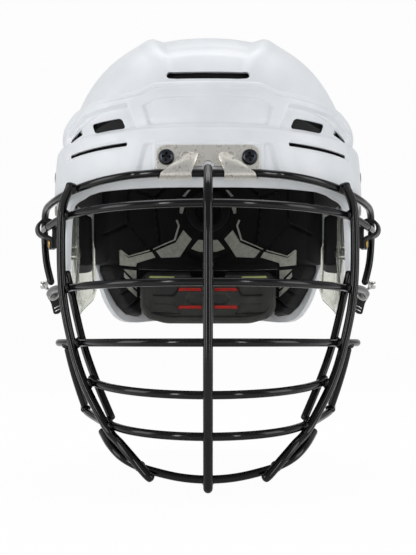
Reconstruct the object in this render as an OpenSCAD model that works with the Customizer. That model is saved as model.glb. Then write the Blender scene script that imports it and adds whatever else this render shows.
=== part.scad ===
/* [Shell] */
// Half width of the front shell at the ears
shell_half_w = 104; // [98:1:112]
// Forehead to mid length of the front shell
shell_front = 132; // [126:1:138]
// Back of the rear shell to mid length
shell_back = 133; // [127:1:139]
// Crown above the brow edge
shell_crown = 120; // [114:1:126]
// Depth that sets how fast the shells draw in below the brow
shell_drop = 185; // [170:5:220]
// Wall of both shells
shell_wall = 2.8; // [2.2:0.1:3.2]
// Gap between the front shell and the rear shell inside it
shell_gap = 0.7; // [0.4:0.1:1.2]
// How far the raised band over the brow stands out
band_raise = 3; // [1.5:0.25:3.5]
// Height of the ledge on top of the brow band
ledge_z = 36; // [34:0.5:38]
// Height of the forehead rim
rim_z = 67.5; // [64:0.5:70]
// Bottom of the rear shell at the nape
nape_z = -77; // [-84:1:-70]
// Bottom of the front shell's temple flap
flap_z = -53; // [-58:1:-48]
// How far the two crown ridges stand up
ridge_raise = 4; // [2:0.5:6]
// Width of the intake slot over the forehead
intake_w = 51; // [40:1:56]
// Height of the intake slot
intake_h = 5; // [4:0.5:6]
// Height of each slit vent in the brow band
slit_h = 2.4; // [1.8:0.2:3]

/* [Bracket] */
// Cage hinge line in front of the mid length
hinge_y = -138.5; // [-139.5:0.25:-138]
// Cage hinge line above the brow edge
hinge_z = 7; // [6:0.5:8]
// Sheet thickness of the bracket
sheet_t = 1.2; // [1:0.1:1.5]
// Width of the bracket plate
plate_w = 61; // [58:1:64]
// Top of the bracket plate
plate_top = 24.4; // [23:0.2:26]
// Spacing of the two bracket screws
screw_pitch = 49; // [46:1:50]
// Head diameter of a bracket screw
screw_head = 9.4; // [8:0.2:10]
// Shank diameter of the screws
screw_d = 4; // [3.5:0.1:4.4]
// Running clearance of the top wire in its hooks
hook_clear = 0.08; // [0.05:0.01:0.1]
// Height of the hook's lip
lip_z = 19.5; // [17:0.5:21]

/* [Cage] */
// Diameter of the cross wires
wire_d = 4.8; // [4.4:0.1:5.2]
// Diameter of the centre and outer bars
bar_d = 5.5; // [5:0.1:6]
// Gap between wires where they cross
weld_gap = 0.15; // [0.1:0.05:0.3]
// Straight length of the top wire in its hooks
hinge_len = 62; // [58:1:66]
// Height of the brow wire
brow_z = -13; // [-15:0.5:-11]
// Height of the eye wire
eye_z = -58.2; // [-62:0.5:-55]
// Height of the nose wire
nose_z = -92; // [-96:0.5:-88]
// Height of the mouth wire's front
mouth_z = -121; // [-124:0.5:-118]
// Height of the jaw wire's front
jaw_z = -144.4; // [-147:0.5:-142]
// Height of the chin wire's front
chin_z = -170; // [-173:0.5:-167]
// How far the nose wire's front stands off the hinge line
cage_reach = 30.5; // [28:0.5:34]
// How far the cage's outer bars cross the eye wire inside the shell's half width
cage_inset = 19.2; // [18:0.2:21]

/* [Loops and tabs] */
// Outside radius of the side loop
loop_r = 6.6; // [6:0.1:7]
// Bore of the side loop
loop_bore = 5.6; // [5.2:0.1:6.4]
// Width of the side loop along the wire
loop_w = 13; // [10:0.5:14]
// Diameter of a loop snap
snap_d = 8.5; // [7:0.5:9]
// Radius of the stud that a chin strap snaps on
post_r = 2.6; // [2:0.1:3]
// Length of that stud
post_len = 3; // [2:0.5:4]

/* [Ear guards] */
// Room between the clear ear guards and the front shell
guard_gap = 4.4; // [4:0.2:6]
// Thickness of the clear plastic
guard_t = 2; // [1.6:0.1:2.4]
// Lowest point of an ear guard
guard_z = -74; // [-80:1:-70]
// Thickness of a temple pad
temple_t = 13; // [9:0.5:14]

/* [Liner] */
// Clearance of the pads from the shells and each other
pad_gap = 0.5; // [0.3:0.1:0.8]
// Thickness of the brow pad
brow_pad_t = 11; // [8:0.5:13]
// Thickness of the rear and side liners
liner_t = 12; // [9:0.5:14]
// Outside diameter of the ring pad on the back
ring_pad_d = 36; // [30:1:40]

/* [Occipital pad] */
// Width of the occipital pad
occ_w = 108; // [100:1:112]
// Top of the occipital pad
occ_top = -35; // [-38:0.5:-33]
// Bottom of the occipital pad
occ_bottom = -76.4; // [-78:0.2:-74]
// Face of the pad behind the mid length
occ_y = 92; // [90:0.5:94]
// Thickness of the pad
occ_t = 9; // [7:0.5:10]
// Radius of its hollow face
occ_r = 120; // [100:5:160]
// Diameter of the post that carries it
occ_post_d = 8; // [7:0.5:9]

/* [Fit] */
// Travel of the length adjustment
fit_travel = 12; // [8:1:14]
// Diameter of an adjuster screw's head
adjuster_d = 12; // [10:0.5:13]
// Least clearance between the two shells along the travel
slide_clear = 0.4; // [0.3:0.05:0.6]
// Clearance of a screw in its hole
screw_clear = 0.2; // [0.15:0.05:0.4]

/* [Hidden] */

// Colours
white = [0.93, 0.94, 0.95];
steel = [0.66, 0.64, 0.6];
black = [0.07, 0.07, 0.08];
foam = [0.12, 0.12, 0.12];
grey = [0.24, 0.24, 0.23];
clear = [0.88, 0.9, 0.84, 0.5];
brass = [0.75, 0.6, 0.3];
chrome = [0.8, 0.8, 0.82];
red = [0.69, 0.08, 0.04];

// Squareness of the front and rear domes
front_n = 2.4;
rear_n = 2.5;
// How far the rear shell's outside lies inside the front shell's
rear_in = shell_wall + shell_gap;

function unit(v) = v / norm(v);
function sgn_pow(v, e) = sign(v) * pow(abs(v), e);
function total(list) = len(list) == 0 ? 0 : list * [for (v = list) 1];

// Triangles that all face outwards, whichever way the rings run
function turned(pts, tris) =
  let (vol = total([for (t = tris) cross(pts[t[0]], pts[t[1]]) * pts[t[2]]]))
  vol < 0 ? tris : [for (t = tris) [t[2], t[1], t[0]]];

// A solid through a row of closed rings, each with the same even number of points.
// Each end is closed by a strip between the ring's first half and its second.
module loft(rings) {
  n = len(rings[0]);
  m = len(rings);
  pts = [for (r = rings) each r];
  sides = [for (k = [0 : m - 2]) for (i = [0 : n - 1])
    let (a = k * n + i, b = k * n + (i + 1) % n) each [[a, b, a + n], [b, b + n, a + n]]];
  ends = [for (e = [0, 1]) for (i = [0 : n / 2 - 2])
    let (o = e * (m - 1) * n, a = o + i, b = o + i + 1, c = o + n - 2 - i, d = o + n - 1 - i)
    each e == 0 ? [[a, d, b], [b, d, c]] : [[a, b, d], [b, c, d]]];
  polyhedron(pts, turned(pts, concat(sides, ends)));
}

// Point of a dome with half sizes a, b and c, at an angle round from the front and a height
function dome_pt(a, b, c, n, az, z) =
  let (s = pow(1 - pow(abs(z) / (z < 0 ? shell_drop : c), n), 1 / n))
  [a * s * sgn_pow(sin(az), 2 / n), -b * s * sgn_pow(cos(az), 2 / n), z];

// Front shell's dome, moved out by off
function front_pt(az, z, off) =
  dome_pt(shell_half_w + off, shell_front + off, shell_crown + off, front_n, az, z);

// Half sizes of the rear shell's dome
rear_a = shell_half_w - rear_in;
rear_b = shell_front - rear_in - 0.3;
rear_c = shell_crown - 3;
function rear_pt(az, z, off) =
  dome_pt(rear_a + off, (cos(az) > 0 ? rear_b : shell_back) + off, rear_c + off, rear_n, az, z);

// Front shell

// Lower and upper edge of the front shell, by the angle round from the front
low_edge = [[0, 3], [28, 1], [40, -3], [50, -7], [54, -12], [57, -30], [60, -47], [64, flap_z],
  [69, flap_z], [73, -46], [77, -30], [82, -15], [88, -7], [93, 3], [100, 26]];
up_edge = [[0, rim_z], [16, rim_z], [22, rim_z - 6], [45, rim_z - 8], [56, rim_z - 10],
  [66, rim_z - 14], [80, rim_z - 17.5], [100, rim_z - 22]];
front_az = [0, 8, 16, 22, 29, 36, 43, 50, 54, 57, 60, 64, 69, 73, 77, 82, 85, 88, 93, 97, 100];

// How far the raised bands stand out, by height
band = [[-5, 0], [5, 0.25 * band_raise], [19, band_raise], [28, 0.75 * band_raise],
  [ledge_z - 1, 0.45 * band_raise], [ledge_z + 0.4, -0.2], [ledge_z + 3, -0.2], [ledge_z + 14, 1.8],
  [rim_z - 8, 2.2], [rim_z, 2.2]];
low_rows = [0, 0.08, 0.5, 0.75, 0.98];
up_rows = [0, 0.1, 0.45, 0.92, 1];

// Heights of the shell's rows at one angle
function front_rows(az, over = 0) =
  let (z0 = lookup(abs(az), low_edge) - over, z1 = lookup(abs(az), up_edge) + over)
  concat([for (f = low_rows) z0 + f * (ledge_z - z0)],
    [for (f = up_rows) ledge_z + 0.4 + f * (z1 - ledge_z - 0.4)]);

// The shell's wall at one angle: its outside from the bottom up, then its inside down again
function front_ring(az) =
  let (zs = front_rows(az), m = len(zs) - 1)
  concat([for (i = [0 : m]) front_pt(az, zs[i], lookup(zs[i], band) - (i == 0 || i == m ? 1 : 0))],
    [for (i = [m : -1 : 0]) front_pt(az, zs[i], -shell_wall)]);

// The room that the front shell takes, with a clearance, for cutting the rear shell
module front_room() {
  turns = [for (az = front_az) az == 100 ? 103 : az];
  function ring(az) = let (zs = front_rows(az, 1.5), m = len(zs) - 1)
    concat([for (i = [0 : m]) front_pt(az, zs[i], 9)],
      [for (i = [m : -1 : 0]) front_pt(az, zs[i], -shell_wall - slide_clear)]);
  loft(concat([for (i = [len(turns) - 1 : -1 : 1]) ring(-turns[i])], [for (az = turns) ring(az)]));
}

// Vents seen from the front, right half: x and z of their corners
vent_top = ledge_z + 9.4;
main_vent = [[73, vent_top], [53, vent_top], [50, ledge_z + 2.2], [70.4, ledge_z + 2.2]];
small_vent = [[90.4, ledge_z + 2.3], [89.6, ledge_z + 5], [81, ledge_z + 8.6], [80, ledge_z + 4.2]];
slit_z = 27;
slit_from = 48;
slit_to = 87;

// The bracket's plate is flat and lies on a flat seat of the shell
plate_y = hinge_y + wire_d / 2 + hook_clear;
seat_y = plate_y + sheet_t;
plate_low = hinge_z + 4.5;
screw_z = (plate_top + plate_low) / 2 - 1;
screw_hole = screw_d + 2 * screw_clear;
barrel_d = screw_d + 2.4;
notch_r = 4.2;
// Front of the seat to the back of the nuts behind the shell
nut_y = seat_y + 11.3;

// An outline seen from the front, run back through the front half
module front_view(outline) {
  along_y(-shell_front - 8, -shell_front + 92) polygon(outline);
}

module plate_outline(grow = 0) {
  w = plate_w / 2 + grow;
  r = 6;
  union() {
    for (s = [-1, 1]) translate([s * (w - r), plate_top + grow - r]) circle(r, $fn = 40);
    translate([r - w, plate_low - grow]) square([2 * (w - r), plate_top - plate_low + 2 * grow]);
    translate([-w, plate_low - grow]) square([2 * w, plate_top - plate_low + 2 * grow - r]);
  }
}

module along_y(y0, y1) {
  translate([0, y1, 0]) rotate([90, 0, 0]) linear_extrude(y1 - y0) children();
}

// A round bar along Y at x and z
module y_bar(x, z, y0, y1, d) {
  translate([x, y0, z]) rotate([-90, 0, 0]) cylinder(d = d, h = y1 - y0, $fn = 48);
}

// Ear guards lie inside the front shell and are screwed to it at two places
guard_half_w = shell_half_w - shell_wall - guard_gap;
guard_b = shell_front - 5;
function guard_pt(az, z, off) = dome_pt(guard_half_w + off, guard_b + off, shell_crown + off, front_n, az, z);
guard_screws = [[62.9, -33.5], [84, 0]];

// Places children on the guard, with their +Z pointing out of it
module on_guard(at) {
  p = guard_pt(at[0], at[1], 0);
  turn = atan2(-pow(-p.y / guard_b, front_n - 1) / guard_b,
    pow(p.x / guard_half_w, front_n - 1) / guard_half_w);
  translate(p) rotate([0, 90, turn]) children();
}

// Length adjusters: a screw on each side of the rear shell that runs in a slot of the front shell
adjuster_y = -8;
adjuster_z = 24;
module adjuster_bar(d, x0, x1) {
  translate([x0, adjuster_y, adjuster_z]) rotate([0, 90, 0]) cylinder(d = d, h = x1 - x0, $fn = 48);
}

module both() {
  children();
  mirror([1, 0, 0]) children();
}

module front_shell() {
  color(white) difference() {
    union() {
      loft(concat([for (i = [len(front_az) - 1 : -1 : 1]) front_ring(-front_az[i])],
        [for (az = front_az) front_ring(az)]));
      along_y(seat_y, seat_y + 5.2) plate_outline(1.2);
      both() y_bar(screw_pitch / 2, screw_z, seat_y + 1, nut_y - 1.5, barrel_d + 6.6);
    }
    both() {
      front_view(main_vent);
      front_view(small_vent);
      front_view([[slit_from, slit_z + slit_h / 2], [slit_from + 1, slit_z - slit_h / 2],
        [slit_to, slit_z - slit_h / 2], [slit_to, slit_z + slit_h / 2]]);
      y_bar(screw_pitch / 2, screw_z, seat_y - 1, seat_y + 20, barrel_d + 2 * screw_clear);
      for (at = guard_screws) on_guard(at) cylinder(d = screw_hole, h = 20, $fn = 48);
      adjuster_bar(screw_hole, shell_half_w - 8, shell_half_w + 8);
      translate([0, fit_travel, 0]) adjuster_bar(screw_hole, shell_half_w - 8, shell_half_w + 8);
      translate([shell_half_w - 8, adjuster_y, adjuster_z - screw_hole / 2])
        cube([16, fit_travel, screw_hole]);
    }
    y_bar(0, plate_low, seat_y - 1, seat_y + 2, 2 * notch_r + 0.6);
  }
}

module forehead_bracket() {
  in_r = wire_d / 2 + hook_clear;
  out_r = in_r + sheet_t;
  hook = [[5.1, lip_z], [16, lip_z], [27.4, hinge_z], [27.4, hinge_z - out_r - 1], [9.6, hinge_z - out_r - 1],
    [9.6, hinge_z]];
  root = [[8, plate_low + 2], [29, plate_low + 2], [29, hinge_z], [26.4, hinge_z - out_r - 1],
    [10.6, hinge_z - out_r - 1], [8, hinge_z]];
  color(steel) difference() {
    union() {
      along_y(plate_y, seat_y) plate_outline();
      both() {
        along_y(plate_y, seat_y) polygon(root);
        intersection() {
          along_y(hinge_y - out_r, seat_y) polygon(hook);
          union() {
            translate([0, hinge_y - out_r, hinge_z]) cube([40, sheet_t, lip_z - hinge_z]);
            difference() {
              translate([0, hinge_y, hinge_z]) rotate([0, 90, 0]) cylinder(r = out_r, h = 40, $fn = 64);
              translate([-1, hinge_y - out_r - 1, hinge_z]) cube([42, 2 * out_r + 2, out_r + 1]);
            }
          }
        }
      }
    }
    translate([-40, hinge_y, hinge_z]) rotate([0, 90, 0]) cylinder(r = in_r, h = 80, $fn = 64);
    both() y_bar(screw_pitch / 2, screw_z, plate_y - 1, seat_y + 1, screw_hole);
    y_bar(0, plate_low, plate_y - 1, seat_y + 1, 2 * notch_r);
  }
}

module bracket_screws() {
  color(black) both() difference() {
    union() {
      intersection() {
        y_bar(screw_pitch / 2, screw_z, plate_y - 2.4, plate_y, screw_head);
        translate([screw_pitch / 2, plate_y + 4.5, screw_z]) sphere(d = 13.8, $fn = 64);
      }
      y_bar(screw_pitch / 2, screw_z, plate_y - 1, nut_y, screw_d);
    }
    for (a = [0, 90]) translate([screw_pitch / 2, plate_y - 2.4, screw_z]) rotate([0, a, 0])
      cube([1.2, 2.6, 5], center = true);
  }
}

module bracket_nuts() {
  color(steel) both() difference() {
    union() {
      y_bar(screw_pitch / 2, screw_z, nut_y - 1.5, nut_y, 12);
      y_bar(screw_pitch / 2, screw_z, seat_y + 2, nut_y, barrel_d);
    }
    y_bar(screw_pitch / 2, screw_z, seat_y, nut_y + 1, screw_d + 0.2);
  }
}

// Cushions follow a dome: thick in the middle, thin and drawn in at their edges
function pad_ring(az, z0, z1, t, f) =
  let (e = min(6, (z1 - z0) / 4), k = f == 0 ? 0.55 : 1, d = f == 0 ? 2 : 0)
  [[z0 + d, 0], [z0 + e, 0], [z1 - e, 0], [z1 - d, 0],
    [z1 - d, -0.45 * t * k], [z1 - e, -t * k], [z0 + e, -t * k], [z0 + d, -0.45 * t * k]];

function steps(a, b, n) = [for (i = [0 : n]) a + (b - a) * i / n];

module brow_pad() {
  turns = steps(-57, 57, 18);
  high = [[0, 50], [30, 47], [57, 35]];
  off = -shell_wall - pad_gap;
  color(foam) difference() {
    loft([for (i = [0 : 18]) [for (q = pad_ring(turns[i], 8, lookup(abs(turns[i]), high), brow_pad_t, i % 18))
      front_pt(turns[i], q[0], off + q[1])]]);
    both() y_bar(screw_pitch / 2, screw_z, seat_y, nut_y + 0.6, barrel_d + 7.8);
  }
}

guard_low = [[58, -38], [61, -50], [66, -60], [74, guard_z + 4], [82, guard_z], [90, guard_z + 2],
  [98, guard_z + 9], [104, guard_z + 14], [108, guard_z + 22]];
guard_high = [[58, -10], [61, 0], [66, 5], [96, 5], [102, -4], [108, -22]];
guard_boss = guard_gap - 1.2;

module ear_guard() {
  turns = [58, 61, 66, 70, 74, 78, 82, 86, 90, 94, 98, 102, 105, 108];
  color(clear) difference() {
    union() {
      loft([for (az = turns) let (zs = steps(lookup(az, guard_low), lookup(az, guard_high), 4))
        concat([for (z = zs) guard_pt(az, z, 0)], [for (i = [4 : -1 : 0]) guard_pt(az, zs[i], -guard_t)])]);
      for (at = guard_screws) on_guard(at) translate([0, 0, -guard_t / 2])
        cylinder(d = 9, h = guard_t / 2 + guard_boss, $fn = 48);
    }
    for (at = guard_screws) on_guard(at) translate([0, 0, -5]) cylinder(d = screw_hole, h = 15, $fn = 48);
  }
}

screw_out = guard_gap + shell_wall + 3.2;
module ear_guard_screws() {
  color(black) both() for (at = guard_screws) on_guard(at) difference() {
    union() {
      translate([0, 0, -guard_t - 2.2]) cylinder(d = 8, h = 1.8, $fn = 48);
      translate([0, 0, -guard_t - 1]) cylinder(d = screw_d, h = guard_t + 1 + screw_out, $fn = 48);
    }
    translate([0, 0, -guard_t - 2.2]) cube([1.2, 9, 1.6], center = true);
  }
}

module ear_guard_nuts() {
  color(steel) both() for (at = guard_screws) on_guard(at) translate([0, 0, screw_out - 1.8]) difference() {
    cylinder(d = 8, h = 1.8, $fn = 48);
    translate([0, 0, -1]) cylinder(d = screw_d + 0.2, h = 4, $fn = 48);
  }
}

module temple_pad() {
  turns = steps(69, 87, 6);
  low = [[69, -40], [75, -45], [81, -42], [87, -30]];
  color(foam) loft([for (i = [0 : 6]) [for (q = pad_ring(turns[i], lookup(turns[i], low), -6, temple_t, i % 6))
    guard_pt(turns[i], q[0], q[1] - guard_t - pad_gap)]]);
}

// Rear shell

// Angles of the rear dome's lines, from the right side over the crown, with close ones at the ridges
dome_angles = [-90, -50, -30, -21, -14, -7, 0, 8, 16, 24, 32, 40, 48, 55, 60, 65, 70, 74, 78, 82, 90];
dome_steps = [-0.965, -0.93, -0.88, -0.81, -0.72, -0.6, -0.46, -0.3, -0.15, 0, 0.15, 0.3, 0.45, 0.58, 0.7,
  0.8, 0.88, 0.94, 0.98, 0.998];
ridge_across = [[0, 0.1], [8, 0.1], [12, 0.45], [16, 1], [20, 1], [25, 0.6], [30, 0.5], [42, 0.25], [55, 0]];
ridge_along = [[-0.965, 0.2], [-0.88, 0.7], [-0.72, 1], [0.3, 1], [0.7, 0.5], [0.94, 0]];

function dome_ring(t, off, raise) =
  let (s = pow(1 - pow(abs(t), rear_n), 1 / rear_n), y = t * ((t < 0 ? rear_b : shell_back) + off),
    all = concat(dome_angles, [for (i = [len(dome_angles) - 2 : -1 : 1]) 180 - dome_angles[i]]))
  [for (f = all) let (
    x = (rear_a + off) * s * sgn_pow(cos(f), 2 / rear_n),
    z = (f < 0 || f > 180 ? shell_drop : rear_c + off) * s * sgn_pow(sin(f), 2 / rear_n),
    h = raise * lookup(abs(f - 90), ridge_across) * lookup(t, ridge_along),
    g = 1 + h / max(norm([x, z]), 1)) [g * x, y, g * z]];

module rear_dome(off, raise) {
  loft([for (t = dome_steps) dome_ring(t, off, raise)]);
}

// Side view of the rear shell: y and z of its corners
rear_side = [[-rear_b + 14, 76], [-rear_b + 6, 56], [-94, 50], [-40, 30], [-2, 6], [12, -12], [42, -16],
  [62, -21], [75, -38], [85, nape_z + 17], [95, nape_z + 4], [105, nape_z], [shell_back + 9, nape_z],
  [shell_back + 9, shell_crown + 9], [-rear_b + 14, shell_crown + 9]];

module side_view(outline, w = 240) {
  rotate([90, 0, 90]) linear_extrude(w, center = true) polygon(outline);
}

module rear_shell() {
  color(white) difference() {
    intersection() {
      rear_dome(0, ridge_raise);
      side_view(rear_side);
    }
    rear_dome(-shell_wall, 0);
    for (s = [0, 1]) translate([0, -s * fit_travel, 0]) front_room();
    intake_slot();
    both() adjuster_bar(screw_hole, rear_a - 8, rear_a + 4);
    y_bar(0, occ_mid, shell_back - 15, shell_back + 5, screw_hole);
  }
}

module intake_slot() {
  translate([0, -rear_b + 30, rim_z + 4.5]) rotate([90, 0, 0]) linear_extrude(40) union() {
    for (s = [-1, 1]) translate([s * (intake_w - intake_h) / 2, 0]) circle(d = intake_h, $fn = 32);
    square([intake_w - intake_h, intake_h], center = true);
  }
}

adjuster_seat = shell_half_w + 2.5;
module shell_screws() {
  color(black) both() difference() {
    union() {
      adjuster_bar(adjuster_d, adjuster_seat, adjuster_seat + 2.2);
      adjuster_bar(screw_d, rear_a - 7.4, adjuster_seat + 1);
    }
    translate([adjuster_seat + 2.2, adjuster_y, adjuster_z]) cube([2.4, 7, 1.3], center = true);
  }
}

module shell_nuts() {
  color(steel) both() difference() {
    adjuster_bar(10, rear_a - 7.4, rear_a - shell_wall - 2);
    adjuster_bar(screw_d + 0.2, rear_a - 9, rear_a);
  }
}

pad_out = -shell_wall - pad_gap;

// Foam cap under the crown, down to the brow of the other liners
module cap(low, off) {
  top = rear_c + off;
  loft([for (z = [low, 0.7 * low + 0.3 * top, 0.45 * low + 0.55 * top, 0.22 * low + 0.78 * top,
    0.07 * low + 0.93 * top, top - 1.2]) [for (az = [0 : 15 : 345]) rear_pt(az, z, off)]]);
}

module crown_liner() {
  color(foam) difference() {
    cap(66, pad_out);
    cap(60, pad_out - liner_t);
  }
}

module side_liner() {
  turns = steps(64, 112, 8);
  color(foam) difference() {
    loft([for (i = [0 : 8]) [for (q = pad_ring(turns[i], 9, 56, liner_t, i % 8))
      rear_pt(turns[i], q[0], pad_out + q[1])]]);
    adjuster_bar(14, rear_a - 8.5, rear_a + 2);
  }
}

module rear_liner() {
  turns = steps(116, 179.4, 12);
  color(foam) loft([for (i = [0 : 12]) [for (q = pad_ring(turns[i], -31, 62, liner_t, i % 12))
    rear_pt(turns[i], q[0], pad_out + q[1])]]);
}

// Two pads below them line the shell beside the occipital pad
nape_low = [[121, -36], [127, -50], [133, -62], [139, -69], [146, -70.5]];
module nape_liner() {
  turns = steps(121, 146, 6);
  color(foam) loft([for (i = [0 : 6])
    [for (q = pad_ring(turns[i], lookup(turns[i], nape_low), -31.3, liner_t, i % 6))
      rear_pt(turns[i], q[0], pad_out - 0.4 + q[1])]]);
}

ring_z = 17;
// The ring pad lies on the rear liners' straight inner faces
function liner_face(az, z) =
  let (p = rear_pt(az, -25, pad_out - liner_t), q = rear_pt(az, 56, pad_out - liner_t))
  p.y + (q.y - p.y) * (z + 25) / 81;
ring_y = liner_face(171, ring_z + ring_pad_d / 2) + 0.9;
module rear_ring_pad() {
  color(foam) difference() {
    y_bar(0, ring_z, ring_y - 4, ring_y, ring_pad_d);
    y_bar(0, ring_z, ring_y - 5, ring_y + 1, ring_pad_d - 14);
  }
}

// Occipital pad: a hollow-faced frame on a post that slides in a guide on the rear shell
occ_mid = (occ_top + occ_bottom) / 2;
post_back = occ_y + occ_t + 21;
guide_back = shell_back - 8;

module plan_ring(r0, r1) {
  translate([0, occ_y - occ_r, occ_bottom - 1]) difference() {
    cylinder(r = r1, h = occ_top - occ_bottom + 2, $fn = 180);
    translate([0, 0, -1]) cylinder(r = r0, h = occ_top - occ_bottom + 4, $fn = 180);
  }
}

occ_outline = [[-occ_w / 2 + 6, occ_top], [occ_w / 2 - 6, occ_top], [occ_w / 2, occ_top - 6],
  [occ_w / 2, occ_bottom + 12], [occ_w / 2 - 5, occ_bottom + 4], [occ_w / 2 - 20, occ_bottom],
  [20 - occ_w / 2, occ_bottom], [5 - occ_w / 2, occ_bottom + 4], [-occ_w / 2, occ_bottom + 12],
  [-occ_w / 2, occ_top - 6]];

module occipital_pad() {
  color(grey) union() {
    difference() {
      intersection() {
        plan_ring(occ_r, occ_r + occ_t);
        along_y(occ_y - 30, occ_y + 30) polygon(occ_outline);
      }
      for (s = [-1, 1]) for (z = [occ_mid + 6.6, occ_mid - 7.6])
        translate([s * 14.5, occ_y, z]) cube([19, 60, 2.8], center = true);
    }
    y_bar(0, occ_mid, occ_y + occ_t - 1, post_back, occ_post_d);
  }
}

module occipital_insert() {
  color(red) difference() {
    intersection() {
      plan_ring(occ_r + occ_t + 0.3, occ_r + occ_t + 2.3);
      along_y(occ_y, occ_y + 30) translate([-28, occ_mid - 12]) square([56, 24]);
    }
    y_bar(0, occ_mid, occ_y, occ_y + 30, occ_post_d + 1);
  }
}

module occipital_guide() {
  color(grey) difference() {
    translate([-9, occ_y + occ_t + 7, occ_mid - 9]) cube([18, guide_back - occ_y - occ_t - 7, 18]);
    y_bar(0, occ_mid, occ_y, post_back + 0.5, occ_post_d + 0.1);
    y_bar(0, occ_mid, occ_y, guide_back + 1, screw_d + 0.1);
  }
}

module guide_screw() {
  color(black) difference() {
    union() {
      y_bar(0, occ_mid, shell_back - 1.8, shell_back + 0.2, 10);
      y_bar(0, occ_mid, post_back + 1, shell_back - 1, screw_d);
    }
    translate([0, shell_back + 0.2, occ_mid]) cube([6, 1.6, 1.2], center = true);
  }
}

// Wires

function mirrored(p) = concat([for (i = [len(p) - 1 : -1 : 1]) [-p[i].x, p[i].y, p[i].z]], p);

// A smooth line through points, with k steps from each to the next
function blend(a, b, c, d, t) = 0.5 * (2 * b + (c - a) * t + (2 * a - 5 * b + 4 * c - d) * t * t
  + (3 * b - a - 3 * c + d) * t * t * t);
function smooth(p, k) = let (m = len(p) - 1, q = concat([2 * p[0] - p[1]], p, [2 * p[m] - p[m - 1]]))
  concat([for (i = [0 : m - 1]) for (j = [0 : k - 1]) blend(q[i], q[i + 1], q[i + 2], q[i + 3], j / k)],
    [p[m]]);
function heading(p, i) = unit(p[min(i + 1, len(p) - 1)] - p[max(i - 1, 0)]);
function square_to(v, t) = unit(v - (v * t) * t);

// A wire of round section along a line, with slightly rounded ends
wire_sides = 8;
module rod(line, d, k = 3, fit = 1.03) {
  p = smooth(line, k);
  m = len(p) - 1;
  start = abs(heading(p, 0).z) < 0.8 ? [0, 0, 1] : [1, 0, 0];
  sides = [for (i = 0, n = square_to(start, heading(p, 0)); i <= m;
    i = i + 1, n = square_to(n, heading(p, min(i, m)))) n];
  r = d / 2 * fit;
  function ring(i, c, f) = let (b = cross(heading(p, i), sides[i]))
    [for (j = [0 : wire_sides - 1]) let (a = 360 * (j + 0.5) / wire_sides)
      c + f * r * (cos(a) * sides[i] + sin(a) * b)];
  lead = 0.2 * d;
  loft(concat([ring(0, p[0], 0.6)], [ring(0, p[0] + lead * heading(p, 0), 1)],
    [for (i = [1 : m - 1]) ring(i, p[i], 1)],
    [ring(m, p[m] - lead * heading(p, m), 1)], [ring(m, p[m], 0.6)]));
}

// Where the cage's side wires pass the ears
side_x = shell_half_w + 4.5;
cage_half_w = shell_half_w - cage_inset;
// Centre distance of crossing wires: the outer bars lie outside, the inner bars inside
outer_step = (wire_d + bar_d) / 2 + weld_gap;
inner_step = wire_d + weld_gap;

// Each cross wire runs as part of an ellipse from its front to the outer bar: how far it stands off the
// hinge line, the half width and place of the crossing, and its heights at the front and at the crossing
arc_end = 62;
brow_w = [0.64 * cage_reach, 1.011 * cage_half_w, -100, brow_z, brow_z];
eye_w = [0.934 * cage_reach, cage_half_w, -102.4, eye_z, eye_z];
nose_w = [cage_reach, 0.922 * cage_half_w, -105, nose_z, nose_z];
mouth_w = [0.934 * cage_reach, 0.82 * cage_half_w, -111.8, mouth_z, mouth_z + 5];
jaw_w = [0.738 * cage_reach, 0.672 * cage_half_w, -122, jaw_z, jaw_z + 3.2];

function front_y(w) = hinge_y - w[0];
function arc_pt(w, f) = let (t = f * arc_end)
  [w[1] * sin(t) / sin(arc_end),
    front_y(w) + (w[2] - front_y(w)) * (1 - cos(t)) / (1 - cos(arc_end)),
    w[3] + (w[4] - w[3]) * f * f];
function arc_half(w) = [for (i = [0 : 4]) arc_pt(w, i / 4)];
function crossing(w) = arc_pt(w, 1);
function arc_dir(w) = unit(crossing(w) - arc_pt(w, 0.96));

// Top wire: straight in the hooks, then round the forehead and down behind the side loops
top_half = [[hinge_len / 2 - 2, hinge_y, hinge_z], [48, -133.6, hinge_z - 0.8],
  [side_x - 43.5, -123, hinge_z - 2.4], [side_x - 28, -107, hinge_z - 4.5],
  [side_x - 14.2, -85, 0], [side_x - 4.8, -62, -1.2], [side_x + 0.5, -46, -3.2],
  [side_x + 2.9, -36, -11], [side_x + 3.4, -32, -23], [side_x + 1.2, -37.5, -38],
  [side_x - 3.6, -46.5, eye_z + 5.2]];
top_crossing = top_half[3];

// Straight ends that the side loops and the strap tabs turn on
loop_centre = [side_x, -49, -15.8];
loop_dir = unit([5.8, 20.2, 0]);
loop_from = loop_centre - 9 * loop_dir;
loop_to = loop_centre + 11 * loop_dir;
tab_centre = [side_x - 3, -34, eye_z - 1.3];
tab_from = tab_centre - [0, 6, 0];
tab_to = tab_centre + [0, 5, 0];

brow_half = concat(arc_half(brow_w), [[side_x - 13.8, -84, brow_z - 0.8], loop_from - 10 * loop_dir, loop_from,
  loop_from + 4 * loop_dir]);
eye_inner = crossing(eye_w) + [6.5, 12.2, 0.5];
eye_half = concat(arc_half(eye_w), [eye_inner, [side_x - 7.8, -66, eye_z + 0.6],
  tab_from - [0, 10, 0], tab_from, tab_from + [0, 3, 0]]);
nose_inner = crossing(nose_w) + [4.1, 8, 0];
nose_half = concat(arc_half(nose_w), [nose_inner, crossing(nose_w) + [11.5, 21.5, 0],
  crossing(nose_w) + [17.4, 35, 0], crossing(nose_w) + [19.5, 44, 0]]);
mouth_inner = crossing(mouth_w) + [3.9, 7.6, 0.5];
mouth_half = concat(arc_half(mouth_w), [mouth_inner]);
jaw_inner = crossing(jaw_w) + [5.2, 11, 0.9];
jaw_corner = crossing(jaw_w) + [21.3, 50, 5.4];
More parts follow.
